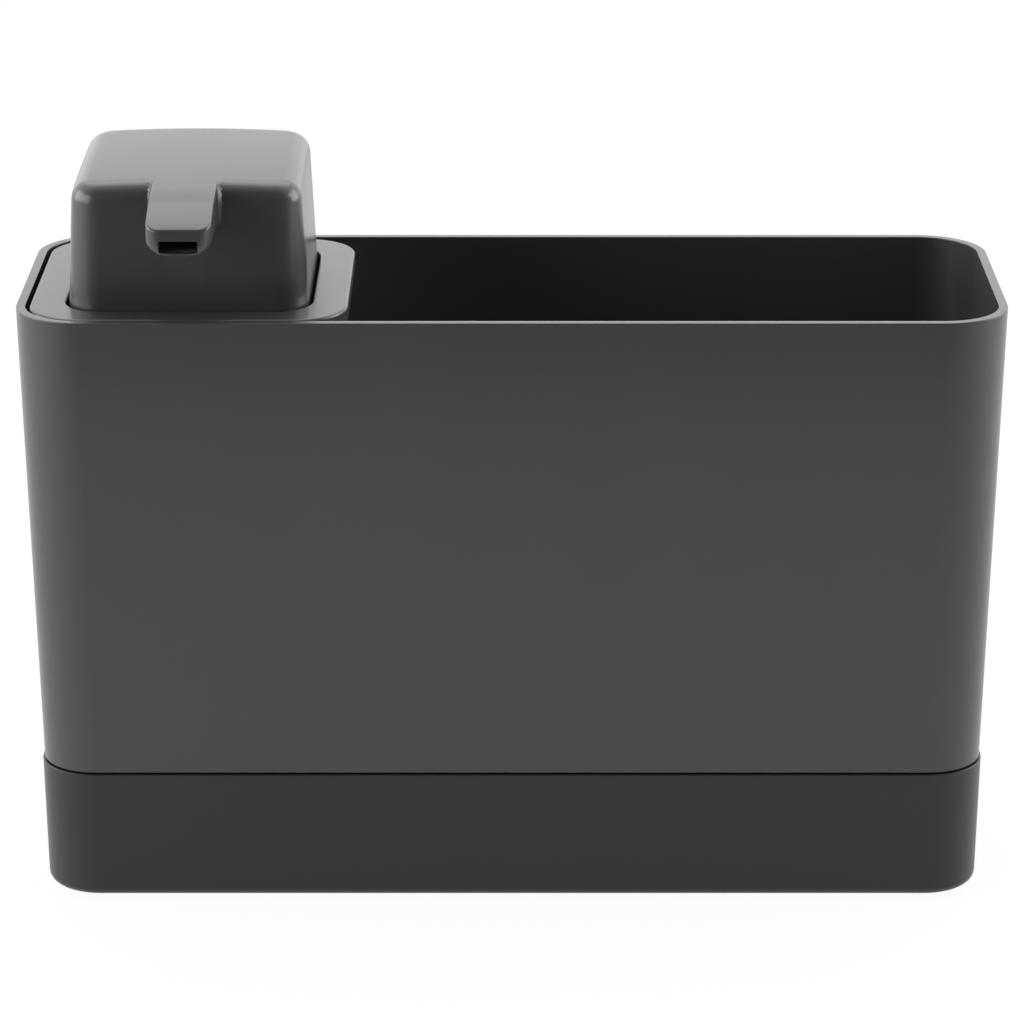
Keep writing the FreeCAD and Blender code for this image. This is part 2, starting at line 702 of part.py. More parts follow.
def spout_channel():
    """The inner actuator: a boss that takes the stem, and the duct that runs forward into the lip."""
    body = new_body("spout_channel", "pump_x")
    boss = circle(new_sketch(body, "boss", height="boss_bottom"), "stem_diameter + 2 * boss_wall")
    solid(body, boss, "cap_ceiling - boss_bottom")
    half = "duct_width / 2"
    tube = outline(new_sketch(body, "duct_outside", height="lip_bottom"),
                   [("-" + half, "duct_front"), (half, "duct_front"), (half, "0"), ("-" + half, "0")])
    solid(body, tube, "duct_top - lip_bottom")
    half = "outlet_width / 2"
    back = "stem_bore / 2"
    bore = outline(new_sketch(body, "duct_inside", height="outlet_bottom"),
                   [("-" + half, "duct_front"), (half, "duct_front"), (half, back), ("-" + half, back)])
    cut(body, bore, "outlet_height", up=True)
    passage = circle(new_sketch(body, "riser", height="boss_bottom"), "stem_bore")
    cut(body, passage, "outlet_top - boss_bottom", up=True)
    socket = circle(new_sketch(body, "stem_socket", height="boss_bottom"), "stem_diameter + 2 * socket_fit")
    cut(body, socket, "stem_top - boss_bottom", up=True)
    return body


def pump_cap():
    """The hollow push cap, crowned on top, with the spout lip at the front."""
    body = new_body("pump_cap", "pump_x")
    side = "cap_side + 2 * cap_flare"
    block = rounded(new_sketch(body, "cap_block", height="cap_bottom"), side, side, "cap_corner + cap_flare")
    solid(body, block, "cap_top - cap_bottom + %d" % OVERRUN, taper="-cap_draft")
    crown_cut(body, "cap_crown")
    soften(body, "cap_softened", "cap_round", lambda box: box.ZMin > value("tip_top"))
    lip = body.newObject("PartDesign::Boolean", "cap_with_lip")
    lip.setObjects([spout_lip()])
    hollow_cap(body)
    return body


def spout_lip():
    """The lip that joins the cap: rounded in plan at its end and along its lower edges."""
    body = new_body("spout_lip")
    rear = "-cap_corner"
    run = "(%s - tip_y)" % rear
    plan = rounded(new_sketch(body, "lip_plan", height="lip_bottom"), "lip_width", run, "lip_corner",
                   y="(tip_y + %s) / 2" % rear)
    rise = "(cap_top - lip_bottom + %d)" % OVERRUN
    solid(body, plan, rise)
    trim = new_sketch(body, "lip_trim", "XZ_Plane", height="-tip_y")
    rounded(trim, "lip_width", "2 * " + rise, "lip_under_round", y="lip_bottom + " + rise)
    far = "lip_width / 2 + %d" % OVERRUN
    low = "lip_bottom - %d" % OVERRUN
    high = "lip_bottom + 2 * %s + %d" % (rise, OVERRUN)
    outline(trim, [("-(%s)" % far, low), (far, low), (far, high), ("-(%s)" % far, high)])
    cut(body, trim, run)
    crown_cut(body, "lip_crown", "lip_sink")
    soften(body, "lip_softened", "lip_edge_round",
           lambda box: box.ZMin > value("tip_top - lip_face / 2") and box.YMin < value("-cap_side / 2"))
    return body


def crown_cut(body, name, sink="0"):
    """Cut the top to the crown: an arc along Y that the lip's tighter arc runs on from, turned across X."""
    sketch = new_sketch(body, name, "YZ_Plane")
    bind(sketch, "AttachmentOffset.Base.y", "-" + sink)
    root = FreeCAD.Vector(value("-cap_side / 2"), value("root_top"), 0)
    tip = FreeCAD.Vector(value("tip_y") - OVERRUN, 0, 0)
    crown_middle = FreeCAD.Vector(value("crown_peak"), value("cap_top - crown_along"), 0)
    lip_middle = root + FreeCAD.Vector(value("lip_radius * root_sine"), -value("lip_radius * root_cosine"), 0)
    rear_y = value("cap_side") / 2 + OVERRUN
    rear_angle = math.acos((rear_y - crown_middle.x) / value("crown_along"))
    root_angle = math.pi / 2 + math.asin(value("root_sine"))
    end_angle = math.acos((tip.x - lip_middle.x) / value("lip_radius"))
    normal = FreeCAD.Vector(0, 0, 1)
    crown = sketch.addGeometry(Part.ArcOfCircle(
        Part.Circle(crown_middle, normal, value("crown_along")), rear_angle, root_angle))
    lip = sketch.addGeometry(Part.ArcOfCircle(
        Part.Circle(lip_middle, normal, value("lip_radius")), root_angle, end_angle))
    rear = sketch.Geometry[crown].StartPoint
    end = sketch.Geometry[lip].EndPoint
    above = value("cap_top") + 2 * OVERRUN
    front_line = sketch.addGeometry(Part.LineSegment(end, FreeCAD.Vector(end.x, above, 0)))
    top_line = sketch.addGeometry(Part.LineSegment(FreeCAD.Vector(end.x, above, 0),
                                                   FreeCAD.Vector(rear.x, above, 0)))
    rear_line = sketch.addGeometry(Part.LineSegment(FreeCAD.Vector(rear.x, above, 0), rear))
    sketch.addConstraint(Sketcher.Constraint("Tangent", crown, 2, lip, 1))
    for first, second in ((lip, front_line), (front_line, top_line), (top_line, rear_line)):
        sketch.addConstraint(Sketcher.Constraint("Coincident", first, 2, second, 1))
    sketch.addConstraint(Sketcher.Constraint("Coincident", rear_line, 2, crown, 1))
    sketch.addConstraint(Sketcher.Constraint("Vertical", front_line))
    sketch.addConstraint(Sketcher.Constraint("Vertical", rear_line))
    sketch.addConstraint(Sketcher.Constraint("Horizontal", top_line))
    limit(sketch, "crown_radius", "crown_along", "Radius", crown)
    limit(sketch, "crown_across", "crown_peak", "DistanceX", -1, 1, crown, 3)
    limit(sketch, "crown_level", "cap_top - crown_along", "DistanceY", -1, 1, crown, 3)
    limit(sketch, "lip_radius", "lip_radius", "Radius", lip)
    limit(sketch, "root_place", "-cap_side / 2", "DistanceX", -1, 1, crown, 2)
    limit(sketch, "front_place", "tip_y - %d" % OVERRUN, "DistanceX", -1, 1, front_line, 1)
    limit(sketch, "rear_place", "cap_side / 2 + %d" % OVERRUN, "DistanceX", -1, 1, rear_line, 1)
    limit(sketch, "above", "cap_top + %d" % (2 * OVERRUN), "DistanceY", -1, 1, top_line, 1)
    axis_level = "cap_top - crown_across"
    axis = sketch.addGeometry(Part.LineSegment(FreeCAD.Vector(0, value(axis_level), 0),
                                               FreeCAD.Vector(OVERRUN, value(axis_level), 0)), True)
    sketch.addConstraint(Sketcher.Constraint("Horizontal", axis))
    sketch.addConstraint(Sketcher.Constraint("PointOnObject", axis, 1, -2))
    limit(sketch, "axis_level", axis_level, "DistanceY", -1, 1, axis, 1)
    limit(sketch, "axis_reach", "%d" % OVERRUN, "DistanceX", axis, 1, axis, 2)
    doc.recompute()
    before = body.Shape.Volume
    groove = body.newObject("PartDesign::Groove", name + "_groove")
    groove.Profile = sketch
    groove.ReferenceAxis = (sketch, ["Axis0"])
    groove.Midplane = True
    groove.Angle = CROWN_SWEEP
    doc.recompute()
    if not body.Shape.Volume < before:
        raise RuntimeError("%s cuts nothing" % groove.Label)
    return groove


def hollow_cap(body):
    """Hollow the cap, and cut the channel for the duct and the outlet slot in the lip's end."""
    side = "cap_side + 2 * cap_flare - 2 * cap_wall"
    inside = rounded(new_sketch(body, "cap_inside", height="cap_bottom"), side, side,
                     "cap_corner + cap_flare - cap_wall")
    cut(body, inside, "cap_ceiling - cap_bottom", up=True, taper="-cap_draft")
    half = "duct_width / 2 + duct_fit"
    front = "tip_y + tip_wall"
    back = "-cap_corner"
    channel = outline(new_sketch(body, "lip_channel", height="lip_bottom"),
                      [("-(%s)" % half, front), (half, front), (half, back), ("-(%s)" % half, back)])
    cut(body, channel, "duct_top + duct_fit - lip_bottom", up=True)
    slot = rounded(new_sketch(body, "outlet", "XZ_Plane", height="-tip_y"), "outlet_width", "outlet_height",
                   "outlet_corner", y="(outlet_bottom + outlet_top) / 2")
    cut(body, slot, "tip_wall + duct_fit")
    bore = "stem_diameter + 2 * boss_wall + 2 * socket_fit"
    ring = circle(new_sketch(body, "cap_socket", height="cap_ceiling - cap_socket_height"), bore)
    circle(ring, bore + " + 2 * cap_socket_wall", "outer_")
    solid(body, ring, "cap_socket_height")


# Return spring

def biarc(start, leaving, end, arriving):
    """Join two places by two arcs that meet smoothly, leaving and arriving in the given directions."""
    span = end - start
    both = leaving + arriving
    square = 2 * (1 - leaving.dot(arriving))
    linear = 2 * span.dot(both)
    reach = (math.sqrt(linear ** 2 + 4 * square * span.dot(span)) - linear) / (2 * square)
    first = start + leaving * reach
    last = end - arriving * reach
    middle = (first + last) * 0.5
    across = (last - first).normalize()
    return [tangent_arc(start, leaving, middle), tangent_arc(middle, across, end)]


def tangent_arc(start, leaving, end):
    """Make the arc between two places that leaves the first one in a given direction."""
    chord = end - start
    along = FreeCAD.Vector(chord).normalize()
    turn = math.acos(leaving.dot(along))
    bulge = (leaving - along * leaving.dot(along)).normalize()
    crest = (start + end) * 0.5 + bulge * (chord.Length / 2 * math.tan(turn / 2))
    return Part.Arc(start, crest, end).toShape()


def return_spring():
    """The coil spring between the cage and the piston, with turns that crowd towards its ends."""
    wire = value("spring_wire")
    radius = value("spring_coil") / 2
    turns = value("spring_turns")
    crowding = value("spring_crowding")
    base = value("spring_bottom") + wire / 2
    rise = value("stem_bottom - spring_bottom") - wire
    quarters = int(round(4 * turns))

    def place(share):
        angle = 2 * math.pi * turns * share
        level = base + rise * (share - crowding * math.sin(2 * math.pi * share) / (2 * math.pi))
        return FreeCAD.Vector(radius * math.cos(angle), radius * math.sin(angle), level)

    def heading(share):
        angle = 2 * math.pi * turns * share
        sweep = 2 * math.pi * turns * radius
        climb = rise * (1 - crowding * math.cos(2 * math.pi * share))
        return FreeCAD.Vector(-sweep * math.sin(angle), sweep * math.cos(angle), climb).normalize()

    edges = []
    for quarter in range(quarters):
        here = quarter / quarters
        there = (quarter + 1) / quarters
        edges += biarc(place(here), heading(here), place(there), heading(there))
    path = Part.Wire(edges)
    section = Part.Wire([Part.Circle(place(0), heading(0), wire / 2).toShape()])
    spring = doc.addObject("Part::Feature", "return_spring")
    spring.Label = "return_spring"
    spring.Shape = path.makePipeShell([section], True, False)
    spring.Placement.Base = FreeCAD.Vector(value("pump_x"), 0, 0)
    report_spring(spring, path, place, turns, wire)
    return spring


def report_spring(spring, path, place, turns, wire):
    """Print the spring's volume against its section times its length, and its least gap to itself."""
    per_turn = 48
    steps = int(per_turn * turns)
    points = [place(step / steps) for step in range(steps + 1)]
    least = min(points[one].distanceToPoint(points[other]) for one in range(steps + 1)
                for other in range(one + per_turn // 2, steps + 1))
    expected = math.pi * (wire / 2) ** 2 * path.Length
    print("spring volume %.2f of %.2f, least gap %.2f" % (spring.Shape.Volume, expected, least - wire))


# Build, check and write

parts = [
    caddy_body(), drip_tray(), base_pad(), soap_reservoir(), lid_seal(), lid_plate(), chamber_gasket(),
    pump_chamber(), stem_guide(), pump_collar(), ball_cage(), dip_tube(), piston_stem(), piston_seal(),
    ball_retainer(), check_ball("inlet_ball", "inlet_ball", "inlet_centre"),
    check_ball("outlet_ball", "outlet_ball", "outlet_centre"), return_spring(), spout_channel(), pump_cap(),
]
doc.recompute()
failed = [thing.Label for thing in doc.Objects if {"Invalid", "Error"} & set(thing.State)]
for part in parts:
    if part.Shape.isNull() or not part.Shape.isValid() or len(part.Shape.Solids) != 1:
        failed.append(part.Label)
if failed:
    raise RuntimeError("failed: " + ", ".join(failed))
os.makedirs("parts", exist_ok=True)
for part in parts:
    part.Shape.exportStep("parts/%s.step" % part.Label)
    box = part.Shape.optimalBoundingBox(False, False)
    print("%-15s volume %9.1f  x %7.2f %7.2f  y %6.2f %6.2f  z %6.2f %6.2f" % (
        part.Label, part.Shape.Volume, box.XMin, box.XMax, box.YMin, box.YMax, box.ZMin, box.ZMax))
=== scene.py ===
"""Looks of a soap pump caddy: a tapered caddy on a drip tray, with a lift-out soap dispenser.

Metres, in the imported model's frame: +Z is up, -Y is the front, and the origin is on the table under the tray.
The dispenser stands at the caddy's left end.
"""

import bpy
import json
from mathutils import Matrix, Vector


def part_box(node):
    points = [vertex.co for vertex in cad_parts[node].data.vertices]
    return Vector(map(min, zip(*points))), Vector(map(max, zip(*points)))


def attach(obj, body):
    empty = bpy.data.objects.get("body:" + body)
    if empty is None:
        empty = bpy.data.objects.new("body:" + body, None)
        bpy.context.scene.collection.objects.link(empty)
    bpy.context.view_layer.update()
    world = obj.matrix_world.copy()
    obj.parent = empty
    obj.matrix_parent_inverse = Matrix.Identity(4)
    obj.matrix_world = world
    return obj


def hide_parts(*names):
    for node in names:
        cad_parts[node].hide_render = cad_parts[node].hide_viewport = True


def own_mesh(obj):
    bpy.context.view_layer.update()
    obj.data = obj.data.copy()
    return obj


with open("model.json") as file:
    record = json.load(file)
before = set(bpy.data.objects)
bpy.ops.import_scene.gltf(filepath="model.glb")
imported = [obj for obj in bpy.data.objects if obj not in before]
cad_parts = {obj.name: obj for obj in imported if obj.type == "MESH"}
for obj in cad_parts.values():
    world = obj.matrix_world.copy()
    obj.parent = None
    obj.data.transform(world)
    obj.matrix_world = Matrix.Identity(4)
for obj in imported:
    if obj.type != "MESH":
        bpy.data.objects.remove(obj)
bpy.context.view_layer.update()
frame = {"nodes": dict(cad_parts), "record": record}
BOXES = {name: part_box(name) for name in frame["nodes"]}

import json
import logging
import math
from dataclasses import dataclass, replace
from enum import Enum
from typing import Any, Callable, Optional, Union

import bmesh
import bpy
from mathutils import Matrix, Vector

MM = 0.001
LOG = logging.getLogger("soap_pump_caddy")

# Name of the vertex value that says how much a surface turns outwards
EDGE_VALUE = "edge"
# Turns where that value starts and where it is full
BROAD_TURN = math.radians(16)
FULL_TURN = math.radians(40)
# Sharpest turn between faces that still shades as one smooth surface
SMOOTH_TURN = math.radians(34)
# Steps in a round edge of a wall
EDGE_STEPS = 5
# Ways that a round edge faces in a wall's section, in degrees
INWARDS = 0.0
UPWARDS = 90.0
OUTWARDS = 180.0
DOWNWARDS = 270.0
# Sides of a ring, and its smallest corner
RING_SIDES = 4
LEAST_CORNER = 0.05 * MM
# Half a side of the square that flat shapes are scaled from
HALF_UNIT = 0.5
# Turn that stands a level shape up, so that it faces the front
STAND_UP = Matrix.Rotation(math.radians(90), 4, "X")
# Distance under which vertices are one
SAME_PLACE = 1e-7

Colour = tuple[float, float, float]
Place = tuple[float, float, float]
Profile = list[tuple[float, float]]
Loop = list[bmesh.types.BMEdge]


# Rings and forms


class Operation(Enum):
    """Ways in which one form changes another."""

    JOIN = "UNION"
    CUT = "DIFFERENCE"


@dataclass(frozen=True)
class Ring:
    """A level rectangle with rounded corners, or a circle where the corners take up the whole of it."""

    length: float
    depth: float
    corner: float
    height: float
    x: float = 0.0
    y: float = 0.0

    def is_round(self) -> bool:
        """Tell whether the ring is a circle."""
        return 2 * self.corner > min(self.length, self.depth) - SAME_PLACE

    def drawn_in(self, share: float) -> "Ring":
        """Give the ring at a share of its size about its own middle."""
        return replace(self, length=self.length * share, depth=self.depth * share, corner=self.corner * share)


@dataclass(frozen=True)
class Outline:
    """A rounded rectangle in plan, whose rings are inset all round from it."""

    length: float
    depth: float
    corner: float
    x: float = 0.0
    y: float = 0.0

    def ring(self, inset: float, height: float) -> Ring:
        """Give the level ring at an inset and a height."""
        corner = max(self.corner - inset, LEAST_CORNER)
        return Ring(self.length - 2 * inset, self.depth - 2 * inset, corner, height, self.x, self.y)

    def rings(self, profile: Profile) -> list[Ring]:
        """Give a ring for each point of a wall's section, a pair of inset and height."""
        return [self.ring(inset, height) for inset, height in profile]


def circle(radius: float, height: float, x: float) -> Ring:
    """Give a level circle round the pump's axis."""
    return Ring(2 * radius, 2 * radius, radius, height, x)


def arc(inset: float, height: float, radius: float, start: float, end: float) -> Profile:
    """Give a round edge of a wall's section, about its middle, from one way that it faces to another."""
    angles = [math.radians(start + (end - start) * step / EDGE_STEPS) for step in range(EDGE_STEPS + 1)]
    return [(inset + radius * math.cos(angle), height + radius * math.sin(angle)) for angle in angles]


class Form:
    """A mesh in the making, put together from level rings."""

    def __init__(self, corner_steps: int = 16, side_cuts: int = 0) -> None:
        """Start an empty form.

        Args:
            corner_steps: steps in each rounded corner of a ring.
            side_cuts: places where each straight side of a ring is divided.
        """
        self.mesh = bmesh.new()
        self.corner_steps = corner_steps
        self.side_cuts = side_cuts

    def flat(self, length: float, depth: float, place: Matrix) -> list[bmesh.types.BMVert]:
        """Add a flat rectangle at a place and give its corners."""
        return bmesh.ops.create_grid(self.mesh, x_segments=1, y_segments=1, size=HALF_UNIT,
                                     matrix=place @ Matrix.Diagonal((length, depth, 1, 1)))["verts"]

    def loop(self, ring: Ring) -> Loop:
        """Draw a ring as a closed loop of edges.

        A circle gets as many points as a rounded rectangle has, so that the two can be joined.

        Args:
            ring: the ring to draw.

        Returns:
            The loop's edges.
        """
        known = set(self.mesh.faces)
        place = Matrix.Translation((ring.x, ring.y, ring.height))
        if ring.is_round():
            count = RING_SIDES * (self.corner_steps + 1 + self.side_cuts)
            bmesh.ops.create_circle(self.mesh, cap_ends=True, segments=count, radius=ring.corner,
                                    matrix=place)
        else:
            corners = self.flat(ring.length, ring.depth, place)
            bmesh.ops.bevel(self.mesh, geom=corners, offset=ring.corner, offset_type="OFFSET",
                            segments=self.corner_steps, profile=0.5, affect="VERTICES", material=-1)
        face = next(face for face in self.mesh.faces if face not in known)
        if self.side_cuts and not ring.is_round():
            straight = [edge for edge in face.edges if self.runs_straight(edge)]
            bmesh.ops.bisect_edges(self.mesh, edges=straight, cuts=self.side_cuts)
        edges = list(face.edges)
        bmesh.ops.delete(self.mesh, geom=[face], context="FACES_ONLY")
        return edges

    @staticmethod
    def runs_straight(edge: bmesh.types.BMEdge) -> bool:
        """Tell whether an edge of a ring is one of its straight sides."""
        run = edge.verts[1].co - edge.verts[0].co
        return min(abs(run.x), abs(run.y)) < SAME_PLACE

    def loft(self, rings: list[Ring]) -> tuple[Loop, Loop]:
        """Join rings, each to the next, by walls.

        The rings are stacked well apart while they are joined, and then put at their heights.

        Args:
            rings: the rings, in order.

        Returns:
            The first and the last loop.
        """
        loops = [self.loop(replace(ring, height=level)) for level, ring in enumerate(rings)]
        for here, there in zip(loops, loops[1:]):
            bmesh.ops.bridge_loops(self.mesh, edges=here + there)
        for level, (loop, ring) in enumerate(zip(loops, rings)):
            verts = list({vert for edge in loop for vert in edge.verts})
            bmesh.ops.translate(self.mesh, vec=(0, 0, ring.height - level), verts=verts)
        return loops[0], loops[-1]

    def cover(self, *loops: Loop) -> None:
        """Close a level area: inside one loop, or between a loop and those inside it."""
        edges = [edge for loop in loops for edge in loop]
        bmesh.ops.triangle_fill(self.mesh, use_beauty=True, use_dissolve=False, edges=edges)

    def solid(self, rings: list[Ring]) -> "Form":
        """Loft rings into a body that is closed at both ends.

        Args:
            rings: the rings, in order.

        Returns:
            The form.
        """
        for end in self.loft(rings):
            self.cover(end)
        return self

    def shift(self, move: Callable[[Vector], Vector]) -> None:
        """Move every vertex to where a rule puts it."""
        for vert in self.mesh.verts:
            vert.co = move(vert.co)

    def settle(self) -> None:
        """Merge what coincides and turn all faces outwards."""
        bmesh.ops.remove_doubles(self.mesh, verts=self.mesh.verts, dist=SAME_PLACE)
        bmesh.ops.recalc_face_normals(self.mesh, faces=self.mesh.faces)

    def as_object(self, name: str) -> bpy.types.Object:
        """Turn the form into an object of the scene, which uses the form up.

        Args:
            name: the object's name.

        Returns:
            The object.
        """
        data = bpy.data.meshes.new(name)
        self.mesh.to_mesh(data)
        self.mesh.free()
        made = bpy.data.objects.new(name, data)
        bpy.context.scene.collection.objects.link(made)
        return made

    def change(self, tool: "Form", operation: Operation) -> None:
        """Join another form to this one, or cut it out of this one.

        Args:
            tool: the other form, which is used up.
            operation: what to do with it.
        """
        self.settle()
        tool.settle()
        here = self.as_object("here")
        there = tool.as_object("there")
        modifier = here.modifiers.new(operation.name, "BOOLEAN")
        modifier.operation = operation.value
        modifier.solver = "EXACT"
        modifier.object = there
        graph = bpy.context.evaluated_depsgraph_get()
        result = bpy.data.meshes.new_from_object(here.evaluated_get(graph))
        self.mesh = bmesh.new()
        self.mesh.from_mesh(result)
        bpy.data.meshes.remove(result)
        for used in (here, there):
            bpy.data.meshes.remove(used.data)

    def mark_edges(self) -> None:
        """Store at each vertex how much the surface turns outwards there, from 0 to 1."""
        layer = self.mesh.verts.layers.float.new(EDGE_VALUE)
        for vert in self.mesh.verts:
            turn = sum(max(edge.calc_face_angle_signed(0.0), 0.0) for edge in vert.link_edges)
            vert[layer] = min(max((turn - BROAD_TURN) / (FULL_TURN - BROAD_TURN), 0.0), 1.0)

    def piece(self, node: str, finish: "Finish") -> bpy.types.Object:
        """Finish the form as the piece that stands for a node.

        Args:
            node: the node, whose body the piece takes.
            finish: the piece's finish.

        Returns:
            The piece.
        """
        self.mark_edges()
        piece = self.as_object(node + "_shape")
        piece.data.shade_smooth()
        piece.data.set_sharp_from_angle(angle=SMOOTH_TURN)
        even = piece.modifiers.new("even_normals", "WEIGHTED_NORMAL")
        even.keep_sharp = True
        piece.data.materials.append(finish.material())
        record = frame["record"]
        body = next(name for name, nodes in record["behaviour"]["bodies"].items() if node in nodes)
        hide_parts(node)
        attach(piece, body)
        LOG.info("%s stands for %s on %s", piece.name, node, body)
        return piece


# Shader nodes

# Numbers of the sockets of a Mix node for colours, which share their names with those for other values
MIX_SHARE = 0
MIX_FIRST = 6
MIX_SECOND = 7
MIX_COLOUR = 2
# Middle of a pattern that goes from 0 to 1
PATTERN_MIDDLE = 0.5
WHITE = (1.0, 1.0, 1.0, 1.0)


class Signal:
    """A node's output, with arithmetic that adds Math nodes."""

    def __init__(self, nodes: "Nodes", socket: bpy.types.NodeSocket) -> None:
        """Wrap an output socket."""
        self.nodes = nodes
        self.socket = socket

    def combine(self, operation: str, first: "Value", second: "Value") -> "Signal":
        """Add a Math node for an operation on two values."""
        return self.nodes.add("ShaderNodeMath", {"operation": operation}, {0: first, 1: second})

    def __add__(self, other: "Value") -> "Signal":
        """Add."""
        return self.combine("ADD", self, other)

    def __sub__(self, other: "Value") -> "Signal":
        """Subtract."""
        return self.combine("SUBTRACT", self, other)

    def __rsub__(self, other: "Value") -> "Signal":
        """Subtract from a number."""
        return self.combine("SUBTRACT", other, self)

    def __mul__(self, other: "Value") -> "Signal":
        """Multiply."""
        return self.combine("MULTIPLY", self, other)

    def __or__(self, other: "Value") -> "Signal":
        """Take the larger."""
        return self.combine("MAXIMUM", self, other)

    __radd__ = __add__
    __rmul__ = __mul__


Value = Union[Signal, float]


class Nodes:
    """The nodes of one material, or of the world."""

    def __init__(self, tree: bpy.types.NodeTree) -> None:
        """Start with an empty tree."""
        tree.nodes.clear()
        self.tree = tree

    def add(self, kind: str, settings: dict[str, Any], sockets: dict[Any, Any],
            output: Any = 0) -> Optional[Signal]:
        """Add a node.

        Args:
            kind: the node's type.
            settings: its settings, set first.
            sockets: the values or links of its sockets, by name or number.
            output: the name or number of the output that is given back.

        Returns:
            That output, or None where the node has no outputs.
        """
        node = self.tree.nodes.new(kind)
        for name, setting in settings.items():
            setattr(node, name, setting)
        for name, value in sockets.items():
            if isinstance(value, Signal):
                self.tree.links.new(value.socket, node.inputs[name])
            else:
                node.inputs[name].default_value = value
        return Signal(self, node.outputs[output]) if len(node.outputs) else None

    def object_place(self) -> Signal:
        """Give the place on the object."""
        return self.add("ShaderNodeTexCoord", {}, {}, "Object")

    def noise(self, place: Signal, size: float, detail: float = 2.0) -> Signal:
        """Add a noise pattern whose blotches have a size."""
        return self.add("ShaderNodeTexNoise", {}, {"Vector": place, "Scale": 1 / size, "Detail": detail})

    def blend(self, share: Value, first: Any, second: Any) -> Signal:
        """Mix two colours."""
        sockets = {MIX_SHARE: share, MIX_FIRST: first, MIX_SECOND: second}
        return self.add("ShaderNodeMix", {"data_type": "RGBA"}, sockets, MIX_COLOUR)

    def bump(self, height: Signal, relief: float) -> Signal:
        """Turn a height from 0 to 1 into a normal, for a relief in metres."""
        return self.add("ShaderNodeBump", {}, {"Strength": 1.0, "Distance": relief, "Height": height})

    def surface(self, sockets: dict[str, Any]) -> None:
        """Add the shader of a solid surface and its output."""
        shader = self.add("ShaderNodeBsdfPrincipled", {}, sockets)
        self.add("ShaderNodeOutputMaterial", {}, {"Surface": shader})


def opaque(colour: Colour, share: float = 1.0) -> tuple[float, float, float, float]:
    """Give a colour, or a share of it, as a socket takes it."""
    return (colour[0] * share, colour[1] * share, colour[2] * share, 1.0)


# Finishes


@dataclass(frozen=True)
class Finish:
    """A finish that all pieces of its name share, whose colour and gloss vary a little over a surface."""

    name: str
    colour: Colour
    roughness: float
    darkest: float = 0.95
    lightest: float = 1.05
    haze: float = 0.05

    def material(self) -> bpy.types.Material:
        """Give the finish's material, made once.

        Returns:
            The material.
        """
        found = bpy.data.materials.get(self.name)
        if found is None:
            found = bpy.data.materials.new(self.name)
            found.use_nodes = True
            self.dress(Nodes(found.node_tree))
        return found

    def dress(self, nodes: Nodes) -> None:
        """Add the finish's nodes."""
        raise NotImplementedError

    def tint(self, nodes: Nodes, pattern: Signal) -> Signal:
        """Give the colour, from its darkest to its lightest share as a pattern goes from 0 to 1."""
        return nodes.blend(pattern, opaque(self.colour, self.darkest), opaque(self.colour, self.lightest))

    def gloss(self, pattern: Signal) -> Signal:
        """Give the roughness, which a pattern raises and lowers by up to half the haze."""
        return self.roughness + self.haze * (pattern - PATTERN_MIDDLE)


@dataclass(frozen=True)
class MouldedPlastic(Finish):
    """Opaque plastic from an eroded mould: a fine grain, faint flow marks and edges polished by handling."""

    specular: float = 0.5
    skin: float = 0.0
    skin_roughness: float = 0.14
    grain: float = 0.35 * MM
    relief: float = 0.004 * MM
    flow: float = 22 * MM
    flow_stretch: Place = (1.0, 1.0, 0.4)
    flow_detail: float = 4.0
    polish: float = 0.08
    worn: float = 1.25
    least_wear: float = 0.3

    def dress(self, nodes: Nodes) -> None:
        """Add the grain, the flow marks and the polished edges.

        Args:
            nodes: the material's nodes.
        """
        place = nodes.object_place()
        stretched = nodes.add("ShaderNodeMapping", {}, {"Vector": place, "Scale": self.flow_stretch})
        grain = nodes.noise(place, self.grain)
        flow = nodes.noise(stretched, self.flow, self.flow_detail)
        turned = nodes.add("ShaderNodeAttribute", {"attribute_name": EDGE_VALUE}, {}, "Fac")
        edge = turned * (flow + self.least_wear)
        nodes.surface({
            "Base Color": nodes.blend(edge, self.tint(nodes, flow), opaque(self.colour, self.worn)),
            "Roughness": self.gloss(flow) - self.polish * edge,
            "Specular IOR Level": self.specular,
            "Coat Weight": self.skin,
            "Coat Roughness": self.skin_roughness,
            "Normal": nodes.bump(grain, self.relief),
        })


@dataclass(frozen=True)
class NaturalPlastic(Finish):
    """Unpigmented plastic, a little cloudy, that light sinks into."""

    darkest: float = 0.94
    lightest: float = 1.04
    haze: float = 0.12
    cloud: float = 9 * MM
    cloud_detail: float = 3.0
    sunk: float = 0.25
    depth: float = 1.5 * MM
    relief: float = 0.01 * MM

    def dress(self, nodes: Nodes) -> None:
        """Add the clouds and the faint ripples of the moulding."""
        cloud = nodes.noise(nodes.object_place(), self.cloud, self.cloud_detail)
        nodes.surface({
            "Base Color": self.tint(nodes, cloud),
            "Roughness": self.gloss(cloud),
            "Subsurface Weight": self.sunk,
            "Subsurface Scale": self.depth,
            "Normal": nodes.bump(cloud, self.relief),
        })


@dataclass(frozen=True)
class Rubber(Finish):
    """Soft rubber with a fine bloom."""

    darkest: float = 0.85
    lightest: float = 1.2
    haze: float = 0.15
    specular: float = 0.3
    grain: float = 0.6 * MM
    relief: float = 0.02 * MM
    bloom: float = 7.2 * MM
    bloom_detail: float = 4.0

    def dress(self, nodes: Nodes) -> None:
        """Add the bloom and the grain.

        Args:
            nodes: the material's nodes.
        """
        place = nodes.object_place()
        grain = nodes.noise(place, self.grain)
        bloom = nodes.noise(place, self.bloom, self.bloom_detail)
        nodes.surface({
            "Base Color": self.tint(nodes, bloom),
            "Roughness": self.gloss(bloom),
            "Specular IOR Level": self.specular,
            "Normal": nodes.bump(grain, self.relief),
        })


